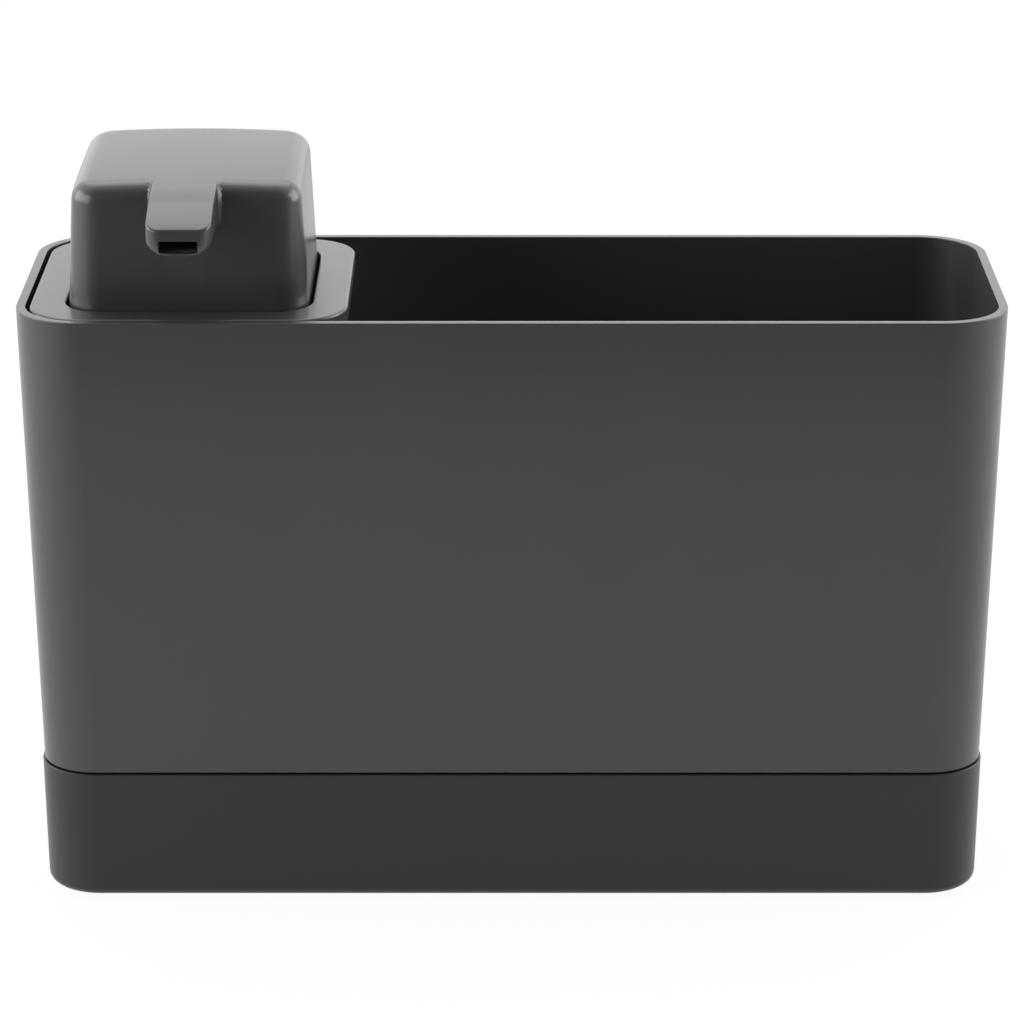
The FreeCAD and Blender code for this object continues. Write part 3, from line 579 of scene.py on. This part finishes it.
@dataclass(frozen=True)
class DrawnSteel(Finish):
    """Bright steel with fine marks from drawing."""

    darkest: float = 0.9
    lightest: float = 1.06
    haze: float = 0.15
    mark: float = 0.25 * MM
    mark_detail: float = 3.0
    relief: float = 0.002 * MM

    def dress(self, nodes: Nodes) -> None:
        """Add the marks."""
        marks = nodes.noise(nodes.object_place(), self.mark, self.mark_detail)
        nodes.surface({
            "Base Color": self.tint(nodes, marks),
            "Metallic": 1.0,
            "Roughness": self.gloss(marks),
            "Normal": nodes.bump(marks, self.relief),
        })


SHELL = MouldedPlastic("satin_shell", (0.036, 0.036, 0.036), 0.38, specular=0.4, skin=0.3)
# The tray's colour is darker than the shell's: partly a darker plastic, partly painted shade that stands in for
# the contact shadow near the floor
TRAY = MouldedPlastic("matt_tray_painted_shade", (0.0175, 0.0175, 0.0175), 0.45, specular=0.3, skin=0.15)
INNER = MouldedPlastic("dark_inner", (0.04, 0.04, 0.04), 0.5, specular=0.3)
SPOUT = MouldedPlastic("grey_spout", (0.13, 0.13, 0.13), 0.5, specular=0.3)
TANK = NaturalPlastic("cloudy_tank", (0.46, 0.47, 0.46), 0.45)
PUMP = NaturalPlastic("natural_pump", (0.55, 0.55, 0.53), 0.38)
TUBE = NaturalPlastic("clear_tube", (0.52, 0.54, 0.53), 0.22)
SILICONE = Rubber("soft_silicone", (0.48, 0.49, 0.50), 0.5)
PAD = Rubber("black_rubber", (0.012, 0.012, 0.012), 0.75)
STEEL = DrawnSteel("drawn_steel", (0.62, 0.62, 0.63), 0.3)


# Caddy and tray


@dataclass(frozen=True)
class CaddyAndTray:
    """The tall open caddy, the drip tray that it drops into, and the pad under the tray."""

    rim: Outline = Outline(230 * MM, 78 * MM, 16 * MM)
    rim_top: float = BOXES["caddy_body"][1].z
    bottom: float = BOXES["caddy_body"][0].z
    tray_bottom: float = BOXES["drip_tray"][0].z
    draft: float = math.radians(1.35)
    tray_draft: float = math.radians(0.9)
    wall: float = 2.2 * MM
    # A hair's breadth that keeps the rim inside its box
    hair: float = 0.009 * MM
    rim_round: float = 0.25 * MM
    edge: float = 0.25 * MM
    seam: float = 0.35 * MM
    # How far the tray's edge stands over the tray's own box
    tray_rise: float = 0.5 * MM
    tray_proud: float = 0.45 * MM
    tray_base_round: float = 2.3 * MM
    skirt_fit: float = 0.5 * MM
    floor: float = 2.2 * MM
    tray_floor: float = 2.0 * MM
    tray_floor_bevel: float = 0.75 * MM
    corner_steps: int = 24
    drains: int = 10
    drain_width: float = 3.5 * MM
    drain_corner: float = 1.575 * MM
    drain_margin: float = 10 * MM
    rib_x: float = -41.095 * MM
    rib_width: float = 2.0 * MM
    rib_height: float = 12 * MM
    rib_corner: float = 0.5 * MM
    rests: int = 4
    rest_width: float = 2.0 * MM
    rest_height: float = 11 * MM
    rest_margin: float = 8 * MM
    pad_inset: float = 9 * MM
    pad_width: float = 7 * MM
    pad_seat: float = 0.8 * MM
    pad_fit: float = 0.15 * MM

    @property
    def tray_top(self) -> float:
        """Height of the tray's edge."""
        return BOXES["drip_tray"][1].z + self.tray_rise

    @property
    def shoulder(self) -> float:
        """Height of the caddy's shoulder, just over the tray's edge."""
        return self.tray_top + self.seam

    @property
    def tray_inset(self) -> float:
        """Inset of the tray's edge from the rim."""
        return self.wall_inset(self.shoulder) - self.tray_proud

    @property
    def foot_inset(self) -> float:
        """Inset of the tray's foot from the rim."""
        return self.tray_inset + (self.tray_top - self.tray_bottom) * math.tan(self.tray_draft)

    def wall_inset(self, height: float) -> float:
        """Give the inset of the caddy's outer wall at a height."""
        return (self.rim_top - height) * math.tan(self.draft)

    def skirt_inset(self, height: float) -> float:
        """Give the inset of the skirt's outer wall at a height."""
        inset = self.tray_inset + self.wall + self.skirt_fit
        return inset + (self.shoulder - height) * math.tan(self.tray_draft)

    def build(self) -> None:
        """Make the caddy, the tray and the pad."""
        self.caddy().piece("caddy_body", SHELL)
        self.tray().piece("drip_tray", TRAY)
        self.pad().piece("base_pad", PAD)

    def caddy(self) -> Form:
        """Make the caddy, up its outside and down its inside.

        Returns:
            The caddy's form.
        """
        form = Form(self.corner_steps)
        ledge = self.shoulder + self.wall
        bay_inset = self.skirt_inset(self.shoulder) + self.wall
        floor_top = self.bottom + self.floor
        drop = (ledge - floor_top) * math.tan(self.tray_draft)
        top = self.rim_top - self.rim_round
        outside = [(self.skirt_inset(self.bottom) + self.edge, self.bottom),
                   (self.skirt_inset(self.bottom), self.bottom + self.edge),
                   (self.skirt_inset(self.shoulder), self.shoulder)]
        outside += arc(self.wall_inset(self.shoulder) + self.edge, self.shoulder + self.edge, self.edge,
                       DOWNWARDS, OUTWARDS)
        rim = arc(self.wall_inset(top) + self.hair + self.rim_round, top, self.rim_round, OUTWARDS, UPWARDS)
        rim += arc(self.wall - self.rim_round, top, self.rim_round, UPWARDS, INWARDS)
        inside = [(self.wall + self.wall_inset(ledge), ledge + self.edge),
                  (self.wall + self.wall_inset(ledge) + self.edge, ledge)]
        inside += [(bay_inset, ledge), (bay_inset + drop, floor_top)]
        under, floor = form.loft(self.rim.rings(outside + rim + inside))
        bay = self.rim.ring(bay_inset + drop, floor_top)
        lower, upper = self.drain_slots(form, bay)
        form.cover(under, *lower)
        form.cover(floor, *upper, self.rib(form, bay))
        form.settle()
        return form

    def drain_slots(self, form: Form, bay: Ring) -> tuple[list[Loop], list[Loop]]:
        """Make the walls of the drain slots.

        Args:
            form: the caddy's form.
            bay: the outline of the bay's floor.

        Returns:
            The slots' loops under and on the floor.
        """
        left = self.rib_x + self.rib_width / 2 + self.drain_margin
        step = (bay.length / 2 - self.drain_margin - left) / (self.drains - 1)
        lower = []
        upper = []
        for slot in range(self.drains):
            mouth = Outline(self.drain_width, bay.depth - 2 * self.drain_margin, self.drain_corner,
                            left + slot * step)
            walls = form.loft(mouth.rings([(-self.edge, self.bottom), (0.0, self.bottom + self.edge),
                                           (0.0, bay.height - self.edge), (-self.edge, bay.height)]))
            lower.append(walls[0])
            upper.append(walls[1])
        return lower, upper

    def rib(self, form: Form, bay: Ring) -> Loop:
        """Make the rib that keeps the soap tank at its end.

        Args:
            form: the caddy's form.
            bay: the outline of the bay's floor.

        Returns:
            The rib's loop on the floor.
        """
        plan = Outline(self.rib_width, bay.depth - 2 * LEAST_CORNER, self.rib_corner, self.rib_x)
        top = bay.height + self.rib_height
        base, summit = form.loft(plan.rings([(0.0, bay.height), (0.0, top - self.edge), (self.edge, top)]))
        form.cover(summit)
        return base

    def tray(self) -> Form:
        """Make the tray, from its underside up its outside and down its inside to the ribs on its floor.

        Returns:
            The tray's form.
        """
        form = Form(self.corner_steps)
        low = self.tray_bottom
        seat = low + self.pad_seat
        groove_out = self.pad_outline(self.pad_fit)
        groove_in = self.pad_outline(-self.pad_width - self.pad_fit)
        bend = self.tray_base_round
        outside = arc(self.foot_inset + bend, low + bend, bend, DOWNWARDS, OUTWARDS)
        outside += arc(self.tray_inset + self.edge, self.tray_top - self.edge, self.edge, OUTWARDS, UPWARDS)
        inner = self.tray_inset + self.wall
        floor_top = low + self.tray_floor
        deep = inner + (self.tray_top - floor_top) * math.tan(self.tray_draft)
        inside = arc(inner - self.edge, self.tray_top - self.edge, self.edge, UPWARDS, INWARDS)
        inside += [(deep, floor_top + self.tray_floor_bevel), (deep + self.tray_floor_bevel, floor_top)]
        groove = [groove_in.ring(0.0, low), groove_in.ring(0.0, seat), groove_out.ring(0.0, seat),
                  groove_out.ring(0.0, low)]
        under, floor = form.loft(groove + self.rim.rings(outside + inside))
        form.cover(under)
        form.cover(floor, *self.rest_ribs(form, floor_top, deep))
        form.settle()
        return form

    def rest_ribs(self, form: Form, floor_top: float, inset: float) -> list[Loop]:
        """Make the ribs that carry the caddy.

        Args:
            form: the tray's form.
            floor_top: height of the tray's floor.
            inset: inset of the tray's inner wall at the floor.

        Returns:
            The ribs' loops on the floor.
        """
        span = (self.rim.length - 2 * self.tray_inset) * (self.rests - 1) / self.rests
        depth = self.rim.depth - 2 * inset - 2 * self.rest_margin
        top = floor_top + self.rest_height
        loops = []
        for rest in range(self.rests):
            x = span * rest / (self.rests - 1) - span / 2
            plan = Outline(self.rest_width, depth, self.rib_corner, x)
            profile = [(-self.edge, floor_top), (0.0, floor_top + self.edge), (0.0, top - self.edge),
                       (self.edge, top)]
            base, summit = form.loft(plan.rings(profile))
            form.cover(summit)
            loops.append(base)
        return loops

    def pad_outline(self, room: float) -> Outline:
        """Give the pad's outer outline, wider all round by some room."""
        inset = self.foot_inset + self.pad_inset - room
        return Outline(self.rim.length - 2 * inset, self.rim.depth - 2 * inset,
                       self.rim.corner + self.pad_width - inset)

    def pad(self) -> Form:
        """Make the pad, a flat ring with soft edges.

        Returns:
            The pad's form.
        """
        form = Form()
        outer = self.pad_outline(0.0)
        inner = self.pad_outline(-self.pad_width)
        top = self.tray_bottom + self.pad_seat
        outside = [(self.edge, top), (0.0, top - self.edge), (0.0, self.edge), (self.edge, 0.0)]
        inside = [(-self.edge, 0.0), (0.0, self.edge), (0.0, top - self.edge), (-self.edge, top)]
        rings = outer.rings(outside) + inner.rings(inside)
        form.loft(rings + rings[:1])
        form.settle()
        return form


# Soap dispenser


@dataclass(frozen=True)
class Dispenser:
    """The soap tank, and the plate that closes it with a well for the cap."""

    x: float = (BOXES["lid_plate"][0].x + BOXES["lid_plate"][1].x) / 2
    tank_wall: float = 2.0 * MM
    tank_draft: float = math.radians(1.35)
    tank_corner: float = 10.9 * MM
    tank_floor: float = 2.0 * MM
    tank_round: float = 1.5 * MM
    tank_lip: float = 0.5 * MM
    plate: float = 3.0 * MM
    plate_corner: float = 13.0 * MM
    plate_round: float = 0.8 * MM
    well_outer: float = 61.994 * MM
    well_wall: float = 1.8 * MM
    well_corner: float = 9.3 * MM
    well_round: float = 0.5 * MM
    well_lip: float = 0.5 * MM
    well_floor: float = 2.0 * MM
    neck_bore: float = 8.1 * MM
    neck_wall: float = 3.9 * MM
    neck_height: float = 6.0 * MM
    bead: float = 0.5 * MM
    bead_height: float = 1.0 * MM
    # Depths under the neck's top in bead heights, and shares of the bead that stand proud there
    bead_section: tuple[tuple[float, float], ...] = ((2.0, 0.0), (1.8, 1.0), (1.0, 1.0), (0.6, 0.0))

    def build(self) -> None:
        """Make the tank and the plate."""
        self.tank().piece("soap_reservoir", TANK)
        self.lid().piece("lid_plate", SHELL)

    def tank(self) -> Form:
        """Make the tank, up its outside and down its inside.

        Returns:
            The tank's form.
        """
        form = Form()
        low, high = BOXES["soap_reservoir"]
        plan = Outline(high.x - low.x, high.y - low.y, self.tank_corner, self.x)
        foot = (high.z - low.z) * math.tan(self.tank_draft)
        floor_top = low.z + self.tank_floor
        deep = self.tank_wall + (high.z - floor_top) * math.tan(self.tank_draft)
        lip = self.tank_lip
        bend = self.tank_round
        profile = arc(foot + bend, low.z + bend, bend, DOWNWARDS, OUTWARDS)
        profile += arc(lip, high.z - lip, lip, OUTWARDS, UPWARDS)
        profile += arc(self.tank_wall - lip, high.z - lip, lip, UPWARDS, INWARDS)
        profile += arc(deep + bend, floor_top + bend, bend, OUTWARDS, DOWNWARDS)
        form.solid(plan.rings(profile))
        form.settle()
        return form

    def lid(self) -> Form:
        """Make the plate, from under its well out and up to its face, down into the well and up its neck.

        Returns:
            The plate's form.
        """
        form = Form()
        low, high = BOXES["lid_plate"]
        plate = Outline(high.x - low.x, high.y - low.y, self.plate_corner, self.x)
        well_side = self.well_outer - 2 * self.well_wall
        shell = Outline(self.well_outer, self.well_outer, self.well_corner + self.well_wall, self.x)
        well = Outline(well_side, well_side, self.well_corner, self.x)
        under = high.z - self.plate
        floor_top = low.z + self.well_floor
        neck_top = floor_top + self.neck_height
        neck = self.neck_bore + self.neck_wall
        face = arc(self.plate_round, high.z - self.plate_round, self.plate_round, OUTWARDS, UPWARDS)
        mouth = arc(self.well_lip - self.well_round, high.z - self.well_round, self.well_round,
                    UPWARDS, INWARDS)
        mouth += [(self.well_lip, under), (0.0, under), (0.0, floor_top)]
        rings = [circle(self.neck_bore, low.z, self.x), shell.ring(0.0, low.z), shell.ring(0.0, under)]
        rings += plate.rings([(0.0, under)] + face)
        rings += well.rings(mouth)
        rings += [circle(neck, floor_top, self.x)]
        for drop, share in self.bead_section:
            rings.append(circle(neck + share * self.bead, neck_top - drop * self.bead_height, self.x))
        rings += [circle(neck, neck_top, self.x), circle(self.neck_bore, neck_top, self.x)]
        form.loft(rings + rings[:1])
        form.settle()
        return form


@dataclass(frozen=True)
class PumpHead:
    """The push cap with its spout lip, and the spring that lifts it."""

    x: float = (BOXES["pump_cap"][0].x + BOXES["pump_cap"][1].x) / 2
    side: float = BOXES["pump_cap"][1].x - BOXES["pump_cap"][0].x
    foot: float = BOXES["pump_cap"][0].z
    top: float = BOXES["pump_cap"][1].z
    tip: float = BOXES["pump_cap"][0].y
    draft: float = math.radians(2.7)
    corner: float = 8.231 * MM
    top_round: float = 4.2 * MM
    top_steps: int = 14
    foot_round: float = 0.4 * MM
    wall: float = 1.8 * MM
    ceiling: float = 171.324 * MM
    crown_across: float = 400 * MM
    crown_along: float = 600 * MM
    crown_peak: float = 15 * MM
    root: float = -27.897 * MM
    lip_width: float = 14.9 * MM
    lip_rear: float = -8 * MM
    lip_radius: float = 70 * MM
    lip_bottom: float = 163.524 * MM
    lip_corner: float = 3.4 * MM
    lip_under_round: float = 3.1 * MM
    lip_root: float = 1.9 * MM
    lip_root_end: float = 0.06
    lip_steps: int = 8
    lip_edge: float = 0.5 * MM
    lip_tuck: float = 0.03
    tip_wall: float = 1.2 * MM
    channel_width: float = 10 * MM
    channel_top: float = 167.524 * MM
    outlet_width: float = 8.8 * MM
    outlet_height: float = 2.8 * MM
    outlet_corner: float = 0.5 * MM
    outlet_floor: float = 0.6 * MM
    wire: float = 0.9 * MM
    coil: float = 8.4 * MM
    turns: int = 8
    crowding: float = 0.55
    steps_per_turn: int = 28
    wire_sides: int = 12
    stroke: float = 12 * MM

    def crown(self, x: float, y: float) -> float:
        """Give the height of the crowned top, or of the lip that runs on from it.

        Args:
            x: place across, from the pump's axis.
            y: place along.

        Returns:
            The height.
        """
        if y > self.root:
            middle = self.top - self.crown_along
            level = middle + math.sqrt(self.crown_along ** 2 - (y - self.crown_peak) ** 2)
        else:
            sine = (self.crown_peak - self.root) / self.crown_along
            cosine = math.sqrt(1 - sine ** 2)
            start = self.top - self.crown_along * (1 - cosine)
            middle = start - self.lip_radius * cosine
            level = middle + math.sqrt(self.lip_radius ** 2 - (y - self.root - self.lip_radius * sine) ** 2)
        axis = self.top - self.crown_across
        return axis + math.sqrt((level - axis) ** 2 - x ** 2)

    def build(self) -> None:
        """Make the cap and the spring."""
        self.cap().piece("pump_cap", SHELL)
        self.spring()

    def crowned(self, form: Form, start: float, full: float) -> Form:
        """Lower a form by the drop of the crown.

        Args:
            form: the form.
            start: height under which nothing is lowered.
            full: height over which everything is lowered by the whole drop.

        Returns:
            The form.
        """
        def lowered(place: Vector) -> Vector:
            """Give a vertex's new place."""
            share = min(max((place.z - start) / (full - start), 0.0), 1.0)
            return place - Vector((0.0, 0.0, share * (self.top - self.crown(place.x - self.x, place.y))))

        form.shift(lowered)
        return form

    def cap(self) -> Form:
        """Make the cap: its crowned block joined with the lip, then hollowed.

        Returns:
            The cap's form.
        """
        form = self.block()
        form.change(self.lip(), Operation.JOIN)
        form.change(self.hollow(), Operation.CUT)
        form.change(self.channel(), Operation.CUT)
        form.change(self.slot(), Operation.CUT)
        return form

    def plan(self) -> Outline:
        """Give the cap's outline at its foot, without the lip."""
        return Outline(self.side, self.side, self.corner, self.x)

    def inset(self, height: float) -> float:
        """Give the inset of the cap's wall at a height."""
        return (height - self.foot) * math.tan(self.draft)

    def block(self) -> Form:
        """Make the solid block of the cap, with its rounded top edge and crowned top.

        Returns:
            The block's form.
        """
        form = Form(corner_steps=14, side_cuts=13)
        middle = self.top - self.top_round
        reach = self.inset(middle) + self.top_round
        start = self.foot + self.foot_round
        profile = [(self.foot_round, self.foot), (0.0, start)]
        profile += arc(reach, middle, self.top_round, OUTWARDS - math.degrees(self.draft), UPWARDS)
        form.solid(self.topped(self.plan().rings(profile)))
        return self.crowned(form, start, middle)

    def topped(self, rings: list[Ring]) -> list[Ring]:
        """Give rings with more inside the last one, so that the area it bounds can be crowned."""
        shares = [1 - step / self.top_steps for step in range(1, self.top_steps)]
        return rings + [rings[-1].drawn_in(share) for share in shares]

    def lip(self) -> Form:
        """Make the lip, rounded under its sides and at its end.

        Its upper edge is softened, and its root is wider.

        Returns:
            The lip's form.
        """
        form = Form(corner_steps=8, side_cuts=90)
        plan = Outline(self.lip_width, self.lip_rear - self.tip, self.lip_corner, self.x,
                       (self.lip_rear + self.tip) / 2)
        side_foot = self.lip_bottom + self.lip_under_round
        side_top = self.top - self.lip_edge
        rings = []
        for inset, height in arc(self.lip_under_round, side_foot, self.lip_under_round, DOWNWARDS, OUTWARDS):
            rings.append(replace(plan.ring(0.0, height), length=self.lip_width - 2 * inset))
        rise = (side_top - side_foot) / self.lip_steps
        rings += plan.rings([(0.0, side_foot + step * rise) for step in range(1, self.lip_steps)])
        rings += plan.rings(arc(self.lip_edge, side_top, self.lip_edge, OUTWARDS, UPWARDS))
        form.solid(self.topped(rings))
        self.crowned(form, side_foot, side_top)
        form.shift(self.widened)
        form.shift(self.tucked)
        return form

    def tucked(self, place: Vector) -> Vector:
        """Give the place of a point of the lip, whose rear dips under the crown."""
        behind = place.y - self.front(self.top)
        return place - Vector((0.0, 0.0, self.lip_tuck * max(behind, 0.0)))

    def widened(self, place: Vector) -> Vector:
        """Give the place of a point of the lip, whose root runs into the cap's front in a hollow round.

        Args:
            place: the point's place on a lip with straight sides.

        Returns:
            Its new place.
        """
        across = place.x - self.x
        level = place.z + self.top - self.crown(across, place.y)
        reach = max(self.front(level) - place.y, 0.0) + self.lip_root_end * self.lip_root
        left = max(self.lip_root - reach, 0.0)
        more = self.lip_root - math.sqrt(self.lip_root ** 2 - left ** 2)
        return Vector((self.x + across * (1 + 2 * more / self.lip_width), place.y, place.z))

    def front(self, level: float) -> float:
        """Give the place along of the cap's front.

        Args:
            level: a height, with the drop of the crown left out.

        Returns:
            The place there.
        """
        middle = self.top - self.top_round
        rise = min(max(level - middle, 0.0), self.top_round)
        inset = self.inset(min(level, middle)) + self.top_round - math.sqrt(self.top_round ** 2 - rise ** 2)
        return inset - self.side / 2

    def hollow(self) -> Form:
        """Make the space under the cap, which starts a little under its foot."""
        profile = [(self.wall + self.inset(height), height)
                   for height in (self.foot - self.wall, self.ceiling)]
        return Form(corner_steps=14).solid(self.plan().rings(profile))

    def channel(self) -> Form:
        """Make the space under the lip that takes the duct.

        Returns:
            The space's form.
        """
        front = self.tip + self.tip_wall
        plan = Outline(self.channel_width, self.lip_rear - front, LEAST_CORNER, self.x,
                       (self.lip_rear + front) / 2)
        profile = [(0.0, self.lip_bottom - self.wall), (0.0, self.channel_top)]
        return Form(corner_steps=2).solid(plan.rings(profile))

    def slot(self) -> Form:
        """Make the outlet slot through the lip's end.

        Returns:
            The slot's form.
        """
        form = Form(corner_steps=5)
        mouth = Outline(self.outlet_width, self.outlet_height, self.outlet_corner)
        form.solid(mouth.rings([(0.0, -self.wall), (0.0, self.wall)]))
        height = self.lip_bottom + self.outlet_floor + self.outlet_height / 2
        place = Matrix.Translation((self.x, self.tip, height))
        bmesh.ops.transform(form.mesh, matrix=place @ STAND_UP, verts=form.mesh.verts)
        return form

    def spring(self) -> None:
        """Make the return spring, whose turns crowd towards its ends."""
        low, high = BOXES["return_spring"]
        form = Form()
        base = low.z + self.wire / 2
        rise = high.z - low.z - self.wire
        steps = self.turns * self.steps_per_turn
        start = Matrix.Translation((self.x + self.coil / 2, 0, base)) @ STAND_UP
        made = bmesh.ops.create_circle(form.mesh, cap_ends=True, segments=self.wire_sides,
                                       radius=self.wire / 2, matrix=start)
        end = made["verts"][0].link_faces[0]
        geometry = [end, *end.edges, *end.verts]
        for step in range(steps):
            climb = self.level(rise, (step + 1) / steps) - self.level(rise, step / steps)
            made = bmesh.ops.spin(form.mesh, geom=geometry, cent=(self.x, 0, 0), axis=(0, 0, 1),
                                  dvec=(0, 0, climb), angle=2 * math.pi / self.steps_per_turn, steps=1)
            geometry = made["geom_last"]
        form.settle()
        piece = form.piece("return_spring", STEEL)
        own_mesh(piece)

    def level(self, rise: float, share: float) -> float:
        """Give how far the spring has climbed at a share of its turns."""
        return rise * (share - self.crowding * math.sin(2 * math.pi * share) / (2 * math.pi))


@dataclass(frozen=True)
class PumpWorks:
    """The seals and the inner pieces of the pump, which keep their own shapes."""

    finishes: tuple[tuple[Finish, tuple[str, ...]], ...] = (
        (SILICONE, ("lid_seal", "chamber_gasket", "piston_seal")),
        (PUMP, ("pump_chamber", "stem_guide", "ball_cage", "piston_stem", "ball_retainer")),
        (TUBE, ("dip_tube",)),
        (INNER, ("pump_collar",)),
        (SPOUT, ("spout_channel",)),
        (STEEL, ("inlet_ball", "outlet_ball")),
    )

    def dress(self) -> None:
        """Give each piece its finish."""
        for finish, nodes in self.finishes:
            for node in nodes:
                data = frame["nodes"][node].data
                data.materials.clear()
                data.materials.append(finish.material())
                LOG.info("%s has the finish %s", node, finish.name)


# Studio


@dataclass(frozen=True)
class Lamp:
    """A soft rectangular lamp that faces a point."""

    name: str
    place: Place
    aim: Place
    size: tuple[float, float]
    power: float

    def build(self) -> None:
        """Put the lamp in the scene."""
        data = bpy.data.lights.new(self.name, "AREA")
        data.shape = "RECTANGLE"
        data.size, data.size_y = self.size
        data.energy = self.power
        lamp = bpy.data.objects.new(self.name, data)
        lamp.location = self.place
        lamp.rotation_euler = (Vector(self.aim) - Vector(self.place)).to_track_quat("-Z", "Y").to_euler()
        bpy.context.scene.collection.objects.link(lamp)


@dataclass(frozen=True)
class Studio:
    """A pale floor, a white surround that is dimmer towards the camera, soft lamps and the camera."""

    floor_size: tuple[float, float] = (3.0, 2.2)
    floor_front: float = -0.40
    floor_colour: Colour = (0.9, 0.9, 0.9)
    floor_white: float = 0.95
    behind: float = 1.6
    ahead: float = 0.15
    # Shares along Y of the directions where the surround starts to brighten and is full
    dim_end: float = -0.6
    bright_start: float = 0.3
    lens: float = 143.58
    sensor: float = 36.0
    camera_place: Place = (0.0, -0.9346, 0.4065)
    camera_pitch: float = 18.92
    lamps: tuple[Lamp, ...] = (
        Lamp("back_panel", (0.0, 0.80, 1.42), (0.0, 0.0, 0.15), (1.6, 1.0), 8.5),
        Lamp("left_panel", (-1.2, -0.25, 0.45), (-0.1, 0.0, 0.1), (1.7, 0.8), 17.0),
        Lamp("right_panel", (1.2, 0.20, 0.45), (0.1, 0.0, 0.1), (0.9, 0.9), 11.0),
    )

    def build(self) -> None:
        """Make the floor, the surround, the lamps and the camera."""
        bpy.context.scene.view_settings.view_transform = "Standard"
        self.floor()
        self.world()
        for lamp in self.lamps:
            lamp.build()
        self.camera()

    def floor(self) -> None:
        """Make the floor, almost white to the eye and in reflections, with a faint shadow."""
        form = Form()
        length, depth = self.floor_size
        form.flat(length, depth, Matrix.Translation((0, self.floor_front + depth / 2, 0)))
        floor = form.as_object("floor")
        material = bpy.data.materials.new("floor_paper")
        material.use_nodes = True
        nodes = Nodes(material.node_tree)
        matt = nodes.add("ShaderNodeBsdfDiffuse", {}, {"Color": opaque(self.floor_colour)})
        white = nodes.add("ShaderNodeEmission", {}, {"Color": WHITE, "Strength": 1.0})
        share = self.seen(nodes) * self.floor_white
        mixed = nodes.add("ShaderNodeMixShader", {}, {"Fac": share, 1: matt, 2: white})
        nodes.add("ShaderNodeOutputMaterial", {}, {"Surface": mixed})
        floor.data.materials.append(material)

    @staticmethod
    def seen(nodes: Nodes) -> Signal:
        """Give 1 for what the camera sees, directly or in a reflection or a clear piece."""
        rays = [nodes.add("ShaderNodeLightPath", {}, {}, "Is %s Ray" % kind)
                for kind in ("Camera", "Glossy", "Transmission")]
        return rays[0] | rays[1] | rays[2]

    def world(self) -> None:
        """Make the surround: white behind and beside the object, dimmer towards the front."""
        world = bpy.data.worlds.new("surround")
        world.use_nodes = True
        bpy.context.scene.world = world
        nodes = Nodes(world.node_tree)
        way = nodes.add("ShaderNodeTexCoord", {}, {}, "Generated")
        along = nodes.add("ShaderNodeSeparateXYZ", {}, {"Vector": way}, "Y")
        behind = nodes.add("ShaderNodeMapRange", {"interpolation_type": "SMOOTHSTEP"},
                           {"Value": along, "From Min": self.dim_end, "From Max": self.bright_start})
        eye = nodes.add("ShaderNodeLightPath", {}, {}, "Is Camera Ray")
        strength = behind * (self.behind - self.ahead) + self.ahead
        light = nodes.add("ShaderNodeBackground", {}, {"Color": WHITE, "Strength": strength | eye})
        nodes.add("ShaderNodeOutputWorld", {}, {"Surface": light})

    def camera(self) -> None:
        """Make the camera at the viewing angle."""
        data = bpy.data.cameras.new("camera")
        data.lens = self.lens
        data.sensor_width = self.sensor
        camera = bpy.data.objects.new("camera", data)
        camera.location = self.camera_place
        camera.rotation_euler = (math.radians(90 - self.camera_pitch), 0.0, 0.0)
        bpy.context.scene.collection.objects.link(camera)
        bpy.context.scene.camera = camera


def main() -> None:
    """Build the object's pieces and the studio in order."""
    logging.basicConfig(level=logging.INFO, format="%(message)s")
    CaddyAndTray().build()
    Dispenser().build()
    PumpHead().build()
    PumpWorks().dress()
    Studio().build()


if __name__ == "__main__":
    main()
